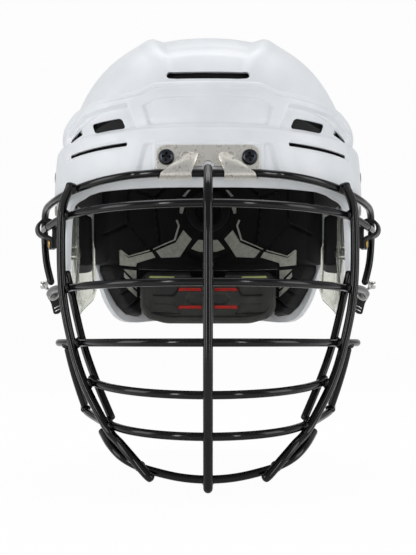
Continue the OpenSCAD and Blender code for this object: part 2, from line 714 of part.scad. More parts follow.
jaw_half = concat(arc_half(jaw_w), [jaw_inner, crossing(jaw_w) + [11.4, 26.5, 2.1],
  jaw_corner, crossing(jaw_w) + [24.6, 67, 8], crossing(jaw_w) + [25.4, 86, 14.4]]);
chin_half = [[0, -146, chin_z], [15, -145.4, chin_z + 1], [29.4, -143, chin_z + 3.8],
  [41, -140.5, chin_z + 7.2], [50.5, -136, chin_z + 12], [58, -126, chin_z + 18], [64.8, -107, chin_z + 24.6]];

module top_wire() {
  color(black) {
    union() {
      translate([-hinge_len / 2, hinge_y, hinge_z]) rotate([0, 90, 0])
        cylinder(d = wire_d, h = hinge_len, $fn = 48);
      for (s = [0, 1]) mirror([s, 0, 0]) rod(top_half, wire_d, 3, 0.99);
    }
  }
}

module end_pin(a, b) {
  translate(a) rotate([0, 90, atan2(b.y - a.y, b.x - a.x)]) cylinder(d = wire_d, h = norm(b - a), $fn = 48);
}

module brow_wire() {
  color(black) union() {
    rod(mirrored(brow_half), wire_d, 3, 0.99);
    for (s = [0, 1]) mirror([s, 0, 0]) end_pin(loop_from + loop_dir, loop_to);
  }
}

module eye_wire() {
  color(black) union() {
    rod(mirrored(eye_half), wire_d, 3, 0.99);
    for (s = [0, 1]) mirror([s, 0, 0]) end_pin(tab_from + [0, 1, 0], tab_to);
  }
}

module nose_wire() { color(black) rod(mirrored(nose_half), wire_d); }
module mouth_wire() { color(black) rod(mirrored(mouth_half), wire_d); }
module jaw_wire() { color(black) rod(mirrored(jaw_half), wire_d, 2); }
module chin_wire() { color(black) rod(mirrored(chin_half), wire_d); }

// A bar crosses each wire one step to the side that is square to both
function cross_off(at, dir, along, step) = at + step * unit(cross(along, dir));

front_points = [[0, hinge_y, hinge_z], [0, front_y(brow_w), brow_z], [0, front_y(eye_w), eye_z],
  [0, front_y(nose_w), nose_z], [0, front_y(mouth_w), mouth_z], [0, front_y(jaw_w), jaw_z],
  [0, chin_half[0].y, chin_z]];
centre_line = [for (i = [0 : len(front_points) - 1])
  cross_off(front_points[i], [1, 0, 0],
    i == 0 ? [0, -0.66, -0.75] : i == 6 ? [0, 0.62, -0.78] : front_points[i + 1] - front_points[i - 1],
    outer_step)];

module centre_bar() {
  color(black) rod(concat(centre_line, [[0, chin_half[0].y - 0.6, chin_z - 5.4]]), bar_d);
}

side_points = [top_crossing, crossing(brow_w), crossing(eye_w), crossing(nose_w), crossing(mouth_w),
  crossing(jaw_w)];
side_dirs = [unit([0.6, 0.8, -0.08]), arc_dir(brow_w), arc_dir(eye_w), arc_dir(nose_w), arc_dir(mouth_w),
  arc_dir(jaw_w)];
outer_line = concat([for (i = [0 : 5])
  cross_off(side_points[i], side_dirs[i],
    side_points[min(i + 1, 5)] - side_points[max(i - 1, 0)] + (i == 5 ? [-4, -6, 0] : [0, 0, 0]),
    outer_step)],
  [[50.6, -137.8, chin_z + 19.6], [42.8, -144.6, chin_z + 11.6], [34.8, -148.7, chin_z + 3.2],
    [31, -149, chin_z + 0.2]]);
outer_top = outer_line[0] + [-0.8, -0.5, 3.6];

module outer_bar() { color(black) rod(concat([outer_top], outer_line), bar_d); }

inner_points = [eye_inner, nose_inner, mouth_inner, jaw_inner];
inner_line = [for (i = [0 : 3])
  cross_off(inner_points[i], unit([0.47, 0.88, 0]), inner_points[min(i + 1, 3)] - inner_points[max(i - 1, 0)],
    -inner_step)];

module inner_bar() { color(black) rod(concat([inner_line[0] + [2.6, 0.6, 10.5]], inner_line), wire_d); }

brace_top = nose_half[6] + [-0.6, 0.9, -2.8];
brace_low = jaw_corner + [0.6, -0.9, 2.75];
module jaw_brace() {
  color(black) rod([brace_top, (2 * brace_top + brace_low) / 3 + [0.6, 0, 0],
    (brace_top + 2 * brace_low) / 3 + [0.6, 0, 0], brace_low], wire_d);
}

// Side loops: a folded strap round each straight end of the brow wire, with a tab that snaps to the shell
tab_drop = 13.6;
snap_z = -9.8;

module at_loop() {
  translate(loop_centre) rotate([0, 0, -acos(loop_dir.y)]) children();
}

module loop_snap_bar(d, x0, x1) {
  translate([x0, 0, snap_z]) rotate([0, 90, 0]) cylinder(d = d, h = x1 - x0, $fn = 48);
}

loop_in = loop_bore / 2;
module side_loop() {
  color(black) at_loop() difference() {
    union() {
      translate([0, loop_w / 2, 0]) rotate([90, 0, 0]) cylinder(r = loop_r, h = loop_w, $fn = 64);
      translate([-loop_r, -loop_w / 2, -tab_drop]) cube([loop_r - loop_in, loop_w, tab_drop]);
    }
    translate([0, loop_w / 2 + 1, 0]) rotate([90, 0, 0]) cylinder(r = loop_in, h = loop_w + 2, $fn = 64);
    loop_snap_bar(snap_d / 2 + 0.2, -loop_r - 1, 1 - loop_in);
  }
}

module loop_snap() {
  color(brass) at_loop() union() {
    loop_snap_bar(snap_d / 2, 0.1 - loop_r, 0.3 - loop_in);
    loop_snap_bar(snap_d - 2.5, 0.1 - loop_in, 1.5 - loop_in);
  }
}

module loop_studs() {
  color(brass) both() at_loop() loop_snap_bar(snap_d - 2, -loop_r - 1, -loop_r - 0.3);
}

// Strap tab and snap clip turn on the straight end of the eye wire
module y_ring(y0, y1, r) {
  translate(tab_centre + [0, y0, 0]) rotate([-90, 0, 0]) cylinder(r = r, h = y1 - y0, $fn = 64);
}
tab_bore = wire_d / 2 + hook_clear;
post_at = tab_centre + [3.6, -3.3, 6.6];

module strap_tab() {
  color(black) difference() {
    union() {
      y_ring(0.2, 3.6, tab_bore + 2);
      translate(tab_centre + [-5.8, 0.2, -13]) cube([5.8, 3.4, 13 - tab_bore - 0.1]);
    }
    y_ring(-6, 5, tab_bore);
  }
}

module snap_clip() {
  color(chrome) difference() {
    union() {
      y_ring(-3.6, -0.1, tab_bore + 1.5);
      translate(tab_centre) rotate([0, 40, 0]) translate([-0.8, -3.6, 3]) cube([1.6, 3.5, 3.8]);
      translate(post_at) rotate([0, 90, 0]) cylinder(r = post_r + 0.6, h = 1.4, $fn = 48);
      translate(post_at + [1, 0, 0]) rotate([0, 90, 0]) cylinder(r = post_r - 0.5, h = 1, $fn = 48);
      translate(post_at + [1.7, 0, 0]) rotate([0, 90, 0]) cylinder(r = post_r, h = post_len, $fn = 48);
    }
    y_ring(-6, 5, tab_bore);
  }
}

// Pieces that come in pairs
module right_ear_guard() { ear_guard(); }
module left_ear_guard() { mirror([1, 0, 0]) ear_guard(); }
module right_temple_pad() { temple_pad(); }
module left_temple_pad() { mirror([1, 0, 0]) temple_pad(); }
module right_side_liner() { side_liner(); }
module left_side_liner() { mirror([1, 0, 0]) side_liner(); }
module right_rear_liner() { rear_liner(); }
module left_rear_liner() { mirror([1, 0, 0]) rear_liner(); }
module right_nape_liner() { nape_liner(); }
module left_nape_liner() { mirror([1, 0, 0]) nape_liner(); }
module right_outer_bar() { outer_bar(); }
module left_outer_bar() { mirror([1, 0, 0]) outer_bar(); }
module right_inner_bar() { inner_bar(); }
module left_inner_bar() { mirror([1, 0, 0]) inner_bar(); }
module right_jaw_brace() { jaw_brace(); }
module left_jaw_brace() { mirror([1, 0, 0]) jaw_brace(); }
module right_side_loop() { side_loop(); }
module left_side_loop() { mirror([1, 0, 0]) side_loop(); }
module right_loop_snap() { loop_snap(); }
module left_loop_snap() { mirror([1, 0, 0]) loop_snap(); }
module right_strap_tab() { strap_tab(); }
module left_strap_tab() { mirror([1, 0, 0]) strap_tab(); }
module right_snap_clip() { snap_clip(); }
module left_snap_clip() { mirror([1, 0, 0]) snap_clip(); }

front_shell();
forehead_bracket();
bracket_screws();
bracket_nuts();
brow_pad();
left_ear_guard();
right_ear_guard();
ear_guard_screws();
ear_guard_nuts();
left_temple_pad();
right_temple_pad();
loop_studs();
rear_shell();
shell_screws();
shell_nuts();
crown_liner();
left_side_liner();
right_side_liner();
left_rear_liner();
right_rear_liner();
left_nape_liner();
right_nape_liner();
rear_ring_pad();
occipital_guide();
guide_screw();
occipital_pad();
occipital_insert();
top_wire();
brow_wire();
eye_wire();
nose_wire();
mouth_wire();
jaw_wire();
chin_wire();
centre_bar();
left_outer_bar();
right_outer_bar();
left_inner_bar();
right_inner_bar();
left_jaw_brace();
right_jaw_brace();
left_side_loop();
right_side_loop();
left_loop_snap();
right_loop_snap();
left_strap_tab();
right_strap_tab();
left_snap_clip();
right_snap_clip();
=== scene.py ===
import bmesh
import bpy
import numpy as np
from math import cos, pi, radians, sin
from mathutils import Matrix, Vector


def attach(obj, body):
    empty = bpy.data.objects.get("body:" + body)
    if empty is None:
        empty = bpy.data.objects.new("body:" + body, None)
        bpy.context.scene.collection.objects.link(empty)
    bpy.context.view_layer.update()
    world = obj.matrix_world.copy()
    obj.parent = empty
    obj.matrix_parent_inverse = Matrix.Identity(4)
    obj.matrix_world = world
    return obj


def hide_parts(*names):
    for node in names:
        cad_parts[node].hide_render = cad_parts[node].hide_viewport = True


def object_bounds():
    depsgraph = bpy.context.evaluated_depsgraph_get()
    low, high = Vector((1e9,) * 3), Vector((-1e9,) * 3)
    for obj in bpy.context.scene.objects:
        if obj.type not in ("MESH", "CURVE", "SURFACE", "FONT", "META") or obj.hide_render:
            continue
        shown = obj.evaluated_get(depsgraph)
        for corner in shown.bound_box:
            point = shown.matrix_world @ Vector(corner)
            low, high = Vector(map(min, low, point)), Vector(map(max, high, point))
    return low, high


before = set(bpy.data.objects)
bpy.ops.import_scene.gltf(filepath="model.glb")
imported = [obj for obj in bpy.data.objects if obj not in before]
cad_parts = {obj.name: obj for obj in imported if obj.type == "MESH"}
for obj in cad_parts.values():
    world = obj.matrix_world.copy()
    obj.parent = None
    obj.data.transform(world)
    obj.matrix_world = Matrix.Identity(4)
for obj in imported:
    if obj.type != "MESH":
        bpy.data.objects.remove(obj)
cad_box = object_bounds()

# Camera
# The photograph looks at the helmet from straight ahead at mouth height, from about 0.6 m in front of the
# cage, through a short telephoto lens. The camera tilts up by 2.5 degrees to keep the crown in the frame.
photo_height, lens_in_pixels, shift_in_pixels = 555, 1038.6, 20
camera = bpy.data.cameras.new("camera")
camera.sensor_width = 36
camera.lens = camera.sensor_width * lens_in_pixels / photo_height
camera.shift_y = shift_in_pixels / photo_height
camera.clip_end = 20
camera_object = bpy.data.objects.new("camera", camera)
camera_object.location = (0, -0.7422, -0.0924)
camera_object.rotation_euler = (pi / 2 + 0.0441, 0, 0)
bpy.context.scene.collection.objects.link(camera_object)
bpy.context.scene.camera = camera_object
bpy.context.scene.view_settings.view_transform = "Standard"

# Floor, backdrop and lights
# A seamless sheet of white card runs under the chin bar and up behind the helmet. A large soft box lights
# it from overhead, with a tall one on each side and two tall strips in front for lines of light in the bars.


def linear(code):
    parts = [int(code[i:i + 2], 16) / 255 for i in (1, 3, 5)]
    return tuple(c / 12.92 if c <= 0.04045 else ((c + 0.055) / 1.055) ** 2.4 for c in parts) + (1,)


def add_node(material, kind, values=None, links=None, to=None, stops=(), **settings):
    # values and links fill the node's sockets, stops colour its ramp, and to is the socket of the material's
    # own shader that the node's first output leads to
    tree = material.node_tree
    node = tree.nodes.new(kind)
    for name, value in settings.items():
        setattr(node, name, value)
    for socket, value in (values or {}).items():
        node.inputs[socket].default_value = value
    for socket, (source, output) in (links or {}).items():
        tree.links.new(source.outputs[output], node.inputs[socket])
    for index, (position, code) in enumerate(stops):
        stop = node.color_ramp.elements[index]
        stop.position, stop.color = position, linear(code)
    if to:
        tree.links.new(node.outputs[0], tree.nodes["Principled BSDF"].inputs[to])
    return node


def new_material(name, **values):
    material = bpy.data.materials.new(name)
    material.use_nodes = True
    for socket, value in values.items():
        material.node_tree.nodes["Principled BSDF"].inputs[socket.replace("_", " ")].default_value = value
    return material


# Camera and clear plastic see the card nearly white, and polished pieces see a share of that
card_white, mirrored_share = 0.965, 0.3
card = new_material("white_card", Base_Color=linear("#f4f4f2"), Roughness=0.9)
seen = add_node(card, "ShaderNodeLightPath")
seen_through = add_node(card, "ShaderNodeMath", None, {0: (seen, "Is Camera Ray"), 1: (seen, "Is Transmission Ray")},
                        operation="ADD", use_clamp=True)
mirrored_too = add_node(card, "ShaderNodeMath", {1: mirrored_share}, {0: (seen, "Is Glossy Ray"), 2: (seen_through, 0)},
                        operation="MULTIPLY_ADD", use_clamp=True)
seen_share = add_node(card, "ShaderNodeMath", {1: card_white}, {0: (mirrored_too, 0)}, operation="MULTIPLY")
bright = add_node(card, "ShaderNodeEmission", {"Color": (1, 1, 1, 1), "Strength": 1.0})
card_mix = add_node(card, "ShaderNodeMixShader", None,
                    {0: (seen_share, 0), 1: (card.node_tree.nodes["Principled BSDF"], 0), 2: (bright, 0)})
card.node_tree.links.new(card_mix.outputs[0], card.node_tree.nodes["Material Output"].inputs["Surface"])

card_reach, card_bend, card_top, bend_steps = 2.2, 0.8, 4, 8
sheet = bmesh.new()
bmesh.ops.create_grid(sheet, x_segments=1, y_segments=1, size=card_reach)
back_edges = [e for e in sheet.edges if all(v.co.y > 1 for v in e.verts)]
for step in range(1, bend_steps + 1):
    turn = radians(90) * step / bend_steps
    raised = bmesh.ops.extrude_edge_only(sheet, edges=back_edges)["geom"]
    back_edges = [e for e in raised if isinstance(e, bmesh.types.BMEdge)]
    for v in {v for e in back_edges for v in e.verts}:
        v.co.y = card_reach + card_bend * sin(turn)
        v.co.z = card_bend * (1 - cos(turn))
raised = bmesh.ops.extrude_edge_only(sheet, edges=back_edges)["geom"]
for v in {v for v in raised if isinstance(v, bmesh.types.BMVert)}:
    v.co.z = card_top
floor_z = cad_box[0][2] - 0.0005
bmesh.ops.translate(sheet, verts=sheet.verts, vec=(0, 0, floor_z))
backdrop_mesh = bpy.data.meshes.new("backdrop")
sheet.to_mesh(backdrop_mesh)
backdrop_mesh.shade_smooth()
backdrop_mesh.materials.append(card)
backdrop = bpy.data.objects.new("backdrop", backdrop_mesh)
bpy.context.scene.collection.objects.link(backdrop)

world = bpy.data.worlds.new("studio")
bpy.context.scene.world = world
world.use_nodes = True
room = world.node_tree.nodes["Background"]
room.inputs["Color"].default_value = (0.94, 0.965, 1.0, 1)
room.inputs["Strength"].default_value = 0.385
looked_at = add_node(world, "ShaderNodeLightPath")
white_wall = add_node(world, "ShaderNodeBackground", {"Color": (1, 1, 1, 1), "Strength": 1.0})
room_mix = add_node(world, "ShaderNodeMixShader", None,
                    {0: (looked_at, "Is Camera Ray"), 1: (room, 0), 2: (white_wall, 0)})
world.node_tree.links.new(room_mix.outputs[0], world.node_tree.nodes["World Output"].inputs["Surface"])
for name, place, size, power in (("overhead", (0.0, 0.3, 1.25), (1.3, 0.8), 8.5),
                                 ("left_box", (-1.35, -0.4, 0.1), (0.6, 1.4), 7.5),
                                 ("right_box", (1.35, -0.4, 0.1), (0.6, 1.4), 7.0),
                                 ("left_strip", (-0.95, -1.45, 0.0), (0.2, 1.5), 9.0),
                                 ("right_strip", (0.9, -1.5, 0.0), (0.18, 1.5), 6.4)):
    lamp = bpy.data.lights.new(name, "AREA")
    lamp.shape = "RECTANGLE"
    lamp.size, lamp.size_y = size
    lamp.energy = power
    lamp_object = bpy.data.objects.new(name, lamp)
    lamp_object.location = place
    lamp_object.rotation_euler = (Vector((0, -0.02, -0.02)) - Vector(place)).to_track_quat("-Z", "Y").to_euler()
    bpy.context.scene.collection.objects.link(lamp_object)

# Front shell
# The front half of the helmet is one injection moulding of glossy white ABS, 2.8 mm thick: a raised brow
# band with a rolled edge, a stepped ledge, and an upper band with a sunk panel. Its vents are cut through.
white_plastic = new_material("moulded_white_ABS", IOR=1.47)
place = {"Vector": (add_node(white_plastic, "ShaderNodeTexCoord"), "Object")}
# Moulded ABS shows a faint long-wave waviness in its gloss and slightly duller, greyer patches from handling
cloudy = add_node(white_plastic, "ShaderNodeTexNoise", {"Scale": 1 / 0.030, "Detail": 3.0}, place)
add_node(white_plastic, "ShaderNodeValToRGB", None, {"Fac": (cloudy, "Fac")}, "Base Color",
         ((0.25, "#dfe2e5"), (0.7, "#e9ebee")))
add_node(white_plastic, "ShaderNodeMapRange", {"To Min": 0.32, "To Max": 0.4}, {"Value": (cloudy, "Fac")}, "Roughness")
# Orange peel of the mould's polish, about 1.6 mm from crest to crest
peel = add_node(white_plastic, "ShaderNodeTexNoise", {"Scale": 1 / 0.0016, "Detail": 1.0}, place)
add_node(white_plastic, "ShaderNodeBump", {"Strength": 0.05, "Distance": 0.0004}, {"Height": (peel, "Fac")}, "Normal")


def piece(name, shape, material, body, stands_for=(), crease=35):
    # makes a shape a piece of the helmet that moves with a body; edges sharper than crease degrees stay sharp
    mesh = bpy.data.meshes.new(name)
    shape.to_mesh(mesh)
    shape.free()
    mesh.materials.append(material)
    mesh.shade_smooth()
    mesh.set_sharp_from_angle(angle=radians(crease))
    obj = bpy.data.objects.new(name, mesh)
    bpy.context.scene.collection.objects.link(obj)
    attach(obj, body)
    if stands_for:
        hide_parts(*stands_for)
    return obj


def ease(value, low, high):
    # rises smoothly from 0 at low to 1 at high
    t = np.clip((value - low) / (high - low), 0, 1)
    return t * t * (3 - 2 * t)


def between(value, table):
    return np.interp(value, [row[0] for row in table], [row[1] for row in table])


def soft_between(value, table, width):
    # reads a table with its corners rounded over a width
    return sum(between(value + width * k, table) for k in (-1, -0.5, 0, 0.5, 1)) / 5


def outline_distance(x, z, corners):
    # how far a point lies inside an outline: below 0 outside it
    far = np.full(np.shape(x), 1e9)
    inside = np.zeros(np.shape(x), bool)
    for (x0, z0), (x1, z1) in zip(corners, corners[1:] + corners[:1]):
        t = np.clip(((x - x0) * (x1 - x0) + (z - z0) * (z1 - z0)) / ((x1 - x0) ** 2 + (z1 - z0) ** 2), 0, 1)
        far = np.minimum(far, np.hypot(x - x0 - t * (x1 - x0), z - z0 - t * (z1 - z0)))
        if z0 != z1:
            inside ^= ((z0 > z) != (z1 > z)) & (x < (x1 - x0) * (z - z0) / (z1 - z0) + x0)
    return np.where(inside, far, -far)


def dome(form, angle, height, off=0):
    # a point off mm outside a squarish dome, whose form is its half width, its reach in front, its height, its
    # depth and its squareness
    half_w, front, crown, drop, square = form
    s = (1 - np.abs(height / np.where(height < 0, drop, crown + off)) ** square) ** (1 / square)
    px, py = np.sin(angle), np.cos(angle)
    return ((half_w + off) * s * np.sign(px) * np.abs(px) ** (2 / square),
            -(front + off) * s * np.sign(py) * np.abs(py) ** (2 / square), height)


def set_points(shape, places):
    # moves every point to its place in mm
    for v, co in zip(shape.verts, np.stack(places, 1)):
        v.co = co / 1000


def drawn_out(shape, way):
    # gives flat faces a thickness along a way, and returns the points that moved
    grown = bmesh.ops.extrude_face_region(shape, geom=shape.faces[:])["geom"]
    moved = [v for v in grown if isinstance(v, bmesh.types.BMVert)]
    bmesh.ops.translate(shape, verts=moved, vec=way)
    return moved


def pad_shape(columns, rows, place_at, round_cap=False):
    # a closed pad: its flat back at side 0 and its soft face at side 1; a round cap closes on itself
    shape = bmesh.new()
    bmesh.ops.create_grid(shape, x_segments=columns, y_segments=rows, size=0.5)
    drawn_out(shape, (0, 0, 1))
    if round_cap:
        shape.normal_update()
        inner_walls = [f for f in shape.faces if abs(f.normal.z) < 0.5 and f.calc_center_median().y > -0.49]
        bmesh.ops.delete(shape, geom=inner_walls, context="FACES")
    flat = np.array([v.co[:] for v in shape.verts])
    set_points(shape, place_at(flat[:, 0] + 0.5, flat[:, 1] + 0.5, flat[:, 2]))
    bmesh.ops.remove_doubles(shape, verts=shape.verts, dist=2e-5)
    bmesh.ops.recalc_face_normals(shape, faces=shape.faces)
    return shape


def solid_from(corners, way):
    # a flat outline in metres, drawn out along a way
    shape = bmesh.new()
    shape.faces.new([shape.verts.new(corner) for corner in corners])
    drawn_out(shape, way)
    bmesh.ops.recalc_face_normals(shape, faces=shape.faces)
    return shape


def prism(outline, y0, y1):
    # a straight piece along Y with its outline drawn in front view, in mm
    return solid_from([(x / 1000, y0 / 1000, z / 1000) for x, z in outline], (0, (y1 - y0) / 1000, 0))


def standing(base, way):
    # takes a shape that stands on the Z axis to a base in metres, along a way
    return Matrix.Translation(base) @ Vector(way).to_track_quat("Z", "Y").to_matrix().to_4x4()


def rod_shape(start, end, radius):
    # a straight round rod between two points, in mm
    start, end = Vector(start) / 1000, Vector(end) / 1000
    shape = bmesh.new()
    bmesh.ops.create_cone(shape, cap_ends=True, segments=40, radius1=radius / 1000, radius2=radius / 1000,
                          depth=(end - start).length, matrix=standing((start + end) / 2, end - start))
    return shape


def round_along(shape, axis, radius, segments):
    # rounds the long edges that run along an axis, in metres
    edges = [e for e in shape.edges if abs((e.verts[0].co - e.verts[1].co)[axis]) > 0.01]
    bmesh.ops.bevel(shape, geom=edges, offset=radius, segments=segments, affect="EDGES", profile=0.5, material=-1)


def rounded_box(centre, size, axis, radius, segments):
    # a box, in metres, whose edges along one axis are rounded
    shape = bmesh.new()
    bmesh.ops.create_cube(shape, size=1, matrix=Matrix.Translation(centre) @ Matrix.Diagonal((*size, 1)))
    round_along(shape, axis, radius, segments)
    return shape


def merged(shapes):
    # several shapes as one
    whole = bmesh.new()
    for shape in shapes:
        part = bpy.data.meshes.new("part")
        shape.to_mesh(part)
        shape.free()
        whole.from_mesh(part)
        bpy.data.meshes.remove(part)
    return whole


def mirrored(shape):
    # a shape for the other side of the helmet
    other = shape.copy()
    bmesh.ops.scale(other, verts=other.verts, vec=(-1, 1, 1))
    bmesh.ops.reverse_faces(other, faces=other.faces)
    return other


def finish_mesh(obj):
    # modifiers are made part of the mesh
    bpy.context.view_layer.update()
    mesh = bpy.data.meshes.new_from_object(obj.evaluated_get(bpy.context.evaluated_depsgraph_get()))
    old, obj.data = obj.data, mesh
    obj.modifiers.clear()
    bpy.data.meshes.remove(old)


def carve(obj, shape, operation="DIFFERENCE", crease=35):
    # cuts a shape out of a piece, or keeps or adds it
    cutter_mesh = bpy.data.meshes.new("cutter")
    shape.to_mesh(cutter_mesh)
    shape.free()
    cutter = bpy.data.objects.new("cutter", cutter_mesh)
    bpy.context.scene.collection.objects.link(cutter)
    cut = obj.modifiers.new("cut", "BOOLEAN")
    cut.operation, cut.solver, cut.object = operation, "EXACT", cutter
    finish_mesh(obj)
    bpy.data.objects.remove(cutter)
    bpy.data.meshes.remove(cutter_mesh)
    obj.data.set_sharp_from_angle(angle=radians(crease))


# The domes of the shell's and the ear guards' outsides, in mm, and the rim's height
front_dome = (104, 132, 120, 185, 2.4)
guard_dome = (96.8, 127, 120, 185, 2.4)
rim = 67.5
# Heights of the two edges at turns in degrees from the front, and how far the outside stands out at a height
low_edge = [(0, 0.4), (28, 0.8), (38, 1.0), (45, 0), (52.5, -2.8), (56.5, -6), (58.4, -20), (59.6, -30), (62, -47),
            (65, -53), (69, -53), (73, -46), (77, -30), (82, -15), (88, -7), (93, 3), (100, 26)]
high_edge = [(0, rim - 1), (16, rim - 1), (22, rim - 6), (45, rim - 8), (56, rim - 10), (66, rim - 14),
             (80, rim - 17.5), (100, rim - 22)]
stand_out = [(-60, 0), (-5, 0), (2, 1.4), (6, 2.7), (19, 2.7), (28, 2.9), (34.2, 3.0), (35.6, 2.3), (36.5, -0.6),
             (39, -0.5), (43, 0.6), (50, 1.3), (60, 2.0), (70, 2.2)]
# Outlines in front view, in mm; those of vents are for the right side
main_vent = [(73, 45.4), (53, 45.4), (50, 38.2), (70.4, 38.2)]
small_vent = [(90.4, 38.3), (89.6, 41), (81, 44.6), (80, 40.2)]
slit = [(48.5, 28.3), (48.5, 25.9), (87, 24.6), (87, 27)]
vent_hollow = [(95, 37), (93, 44), (79, 52), (49, 54), (44, 38)]
panel = [(-36, 38.6), (-39.4, 51.8), (-34, 54.6), (-27, 56.2), (27, 56.2), (34, 54.6), (39.4, 51.8), (36, 38.6)]
bracket_seat = [(-36, 26.4), (36, 26.4), (47, -14), (-47, -14)]
plate_seat = [(-31.4, 25.4), (31.4, 25.4), (31.4, 10.2), (-31.4, 10.2)]


def front_shell_at(u, w, inner):
    # u runs round from side to side and w up from edge to edge; inner is 0 on the outside and 1 on the inside
    angle = -100 + 200 * u
    side = np.abs(angle)
    low, high = soft_between(side, low_edge, 1.2), soft_between(side, high_edge, 1.5)
    # rows crowd at the two rolled edges
    z = low + (high - low) * (w - 0.1 * np.sin(2 * pi * w) / pi)
    x, y, _ = dome(front_dome, np.radians(angle), z)
    out = soft_between(z, stand_out, 0.4) * (1 - 0.5 * ease(side, 88, 100))
    # a bead runs along the upper rim
    out = out + 1.3 * ease(z - high, -4.6, -3.4)
    # rolled lower lip and rounded upper rim
    out = out - 2.6 * (1 - ease(z - low, 0, 5.4)) ** 1.5 * (1 - ease(side, 48, 56))
    out = out - 0.8 * (1 - ease(z - low, 0, 1.6)) - 1.6 * (1 - ease(high - z, 0, 1.8)) ** 2
    # the wall is 2.8 mm thick, and thinner where the outside is sunk over the brow pad
    inside = np.maximum(out - 2.8, -3.2 - 4 * (1 - ease(z - low, 4, 9)))
    ax = np.abs(x)
    out = out - 3.6 * ease(outline_distance(ax, z, vent_hollow), -0.6, 2.0)
    for hole in (main_vent, small_vent, slit):
        out = out - 1.1 * ease(outline_distance(ax, z, hole), -1.9, 0.4)
    out = out - 1.5 * ease(outline_distance(x, z, panel), -0.2, 0.8) * (y < 0)
    # a low fold stands round the bracket's seat
    fold = outline_distance(x, z, bracket_seat)
    out = out + np.where(y < 0, 1.5 * ease(fold, -13, -0.8) * (1 - ease(fold, -0.8, 1.4)), 0)
    inside = np.minimum(inside, np.maximum(out - 1.4, -3.2))
    out = np.where(inner > 0.5, inside, np.maximum(out, inside + 1))
    x, y, _ = dome(front_dome, np.radians(angle), z, out)
    # the bracket sits on a flat seat
    flat = ease(outline_distance(x, z, plate_seat), -1.6, 0.2) * (y < 0)
    y = y * (1 - flat) + (2.6 * inner - 134.8) * flat
    return x, y, z


front = pad_shape(390, 112, front_shell_at)
front_shell = piece("front_shell_moulding", front, white_plastic, "front", ("front_shell",), 40)


def guard_screw_line(index, side):
    # a point on the ear guard's outside and the way out of it, in mm
    turn, z = ((62.9, -33.5), (84, 0))[index]
    x, y, _ = dome(guard_dome, radians(turn), np.array(float(z)))
    half_w, front_reach = guard_dome[:2]
    way = Vector(((x / half_w) ** 1.4 / half_w, -((-y / front_reach) ** 1.4) / front_reach, 0)).normalized()
    return Vector((side * x, y, z)), Vector((side * way.x, way.y, 0))


# The vents, the holes for the bracket's and the guards' screws, and a slot at each side for the adjusters
screw_x, screw_z = 24.5, 16.95
holes = []
for hole, corner in ((main_vent, 0.002), (small_vent, 0.0008), (slit, 0.0009)):
    vent = prism(hole, -150, -20)
    round_along(vent, 1, corner, 6)
    holes += [vent, mirrored(vent)]
for side in (-1, 1):
    holes.append(rod_shape((side * screw_x, -142, screw_z), (side * screw_x, -115, screw_z), 3.4))
    for index in (0, 1):
        start, way = guard_screw_line(index, side)
        holes.append(rod_shape(start, start + 20 * way, 2.2))
    holes.append(rounded_box((side * 0.103, -0.002, 0.024), (0.02, 0.0164, 0.0044), 0, 0.0021, 8))
carve(front_shell, merged(holes))

# Rear shell
# The rear half is a second moulding of the same white ABS that slides inside the front one: a dome with
# two ridges over the crown, an intake slot above the forehead and a deep nape.
rear_half_w, rear_front, rear_back, rear_crown, rear_drop = 100.5, 128.2, 133, 117, 185
# Height of a crown ridge over the turn from the top, in degrees, and along the dome from front to back
across = [(0, 0.12), (9, 0.05), (13.4, 0), (17.2, 1), (19.4, 1), (24, 0.6), (30, 0.42), (42, 0.2), (55, 0)]
along = [(-0.965, 0.2), (-0.88, 0.7), (-0.72, 1), (0.3, 1), (0.7, 0.5), (0.94, 0)]


def rear_shell_at(u, w):
    # u runs round the helmet's long axis and w from front to back
    around = -90 + 360 * u
    t = np.clip(-1 + 2 * (w - 0.14 * np.sin(2 * pi * w) / pi), -1, 1)
    s = (1 - np.abs(t) ** 2.5) ** 0.4
    y = t * np.where(t < 0, rear_front, rear_back)
    c, d = np.cos(np.radians(around)), np.sin(np.radians(around))
    x = rear_half_w * s * np.sign(c) * np.abs(c) ** 0.8
    z = np.where(d < 0, rear_drop, rear_crown) * s * np.sign(d) * np.abs(d) ** 0.8
    ridge = 4.3 * soft_between(np.abs(around - 90), across, 0.3) * soft_between(t, along, 0.02) * (s > 0)
    # the crown's flat ends in front in a crease that runs between the two ridges
    crest = np.clip(1 - np.abs(y + 101) / 13, 0, 1) * (1 - ease(np.abs(around - 90), 14, 21))
    ridge = ridge + 2.3 * soft_between(crest, [(0, 0), (1, 1)], 0.04) * (d > 0)
    grow = 1 + ridge / np.maximum(np.hypot(x, z), 1)
    x, z = grow * x, grow * z
    return x, y, z


rear = bmesh.new()
bmesh.ops.create_grid(rear, x_segments=320, y_segments=230, size=0.5)
flat = np.array([v.co[:2] for v in rear.verts]) + 0.5
set_points(rear, rear_shell_at(flat[:, 0], flat[:, 1]))
bmesh.ops.remove_doubles(rear, verts=rear.verts, dist=1e-5)
bmesh.ops.recalc_face_normals(rear, faces=rear.faces)
bmesh.ops.solidify(rear, geom=rear.faces[:], thickness=0.0028)
rear_shell = piece("rear_shell_moulding", rear, white_plastic, "rear", ("rear_shell",), 40)
side_outline = [(-114.2, 76), (-122.2, 56), (-94, 50), (-40, 30), (-2, 6), (12, -12), (42, -16), (62, -21),
                (75, -38), (85, -60), (95, -73), (105, -76), (122, -73), (142, -72), (142, 129), (-114.2, 129)]
side_cutter = solid_from([(-0.12, y / 1000, z / 1000) for y, z in side_outline], (0.24, 0, 0))
round_along(side_cutter, 0, 0.005, 5)
carve(rear_shell, side_cutter, "INTERSECT")
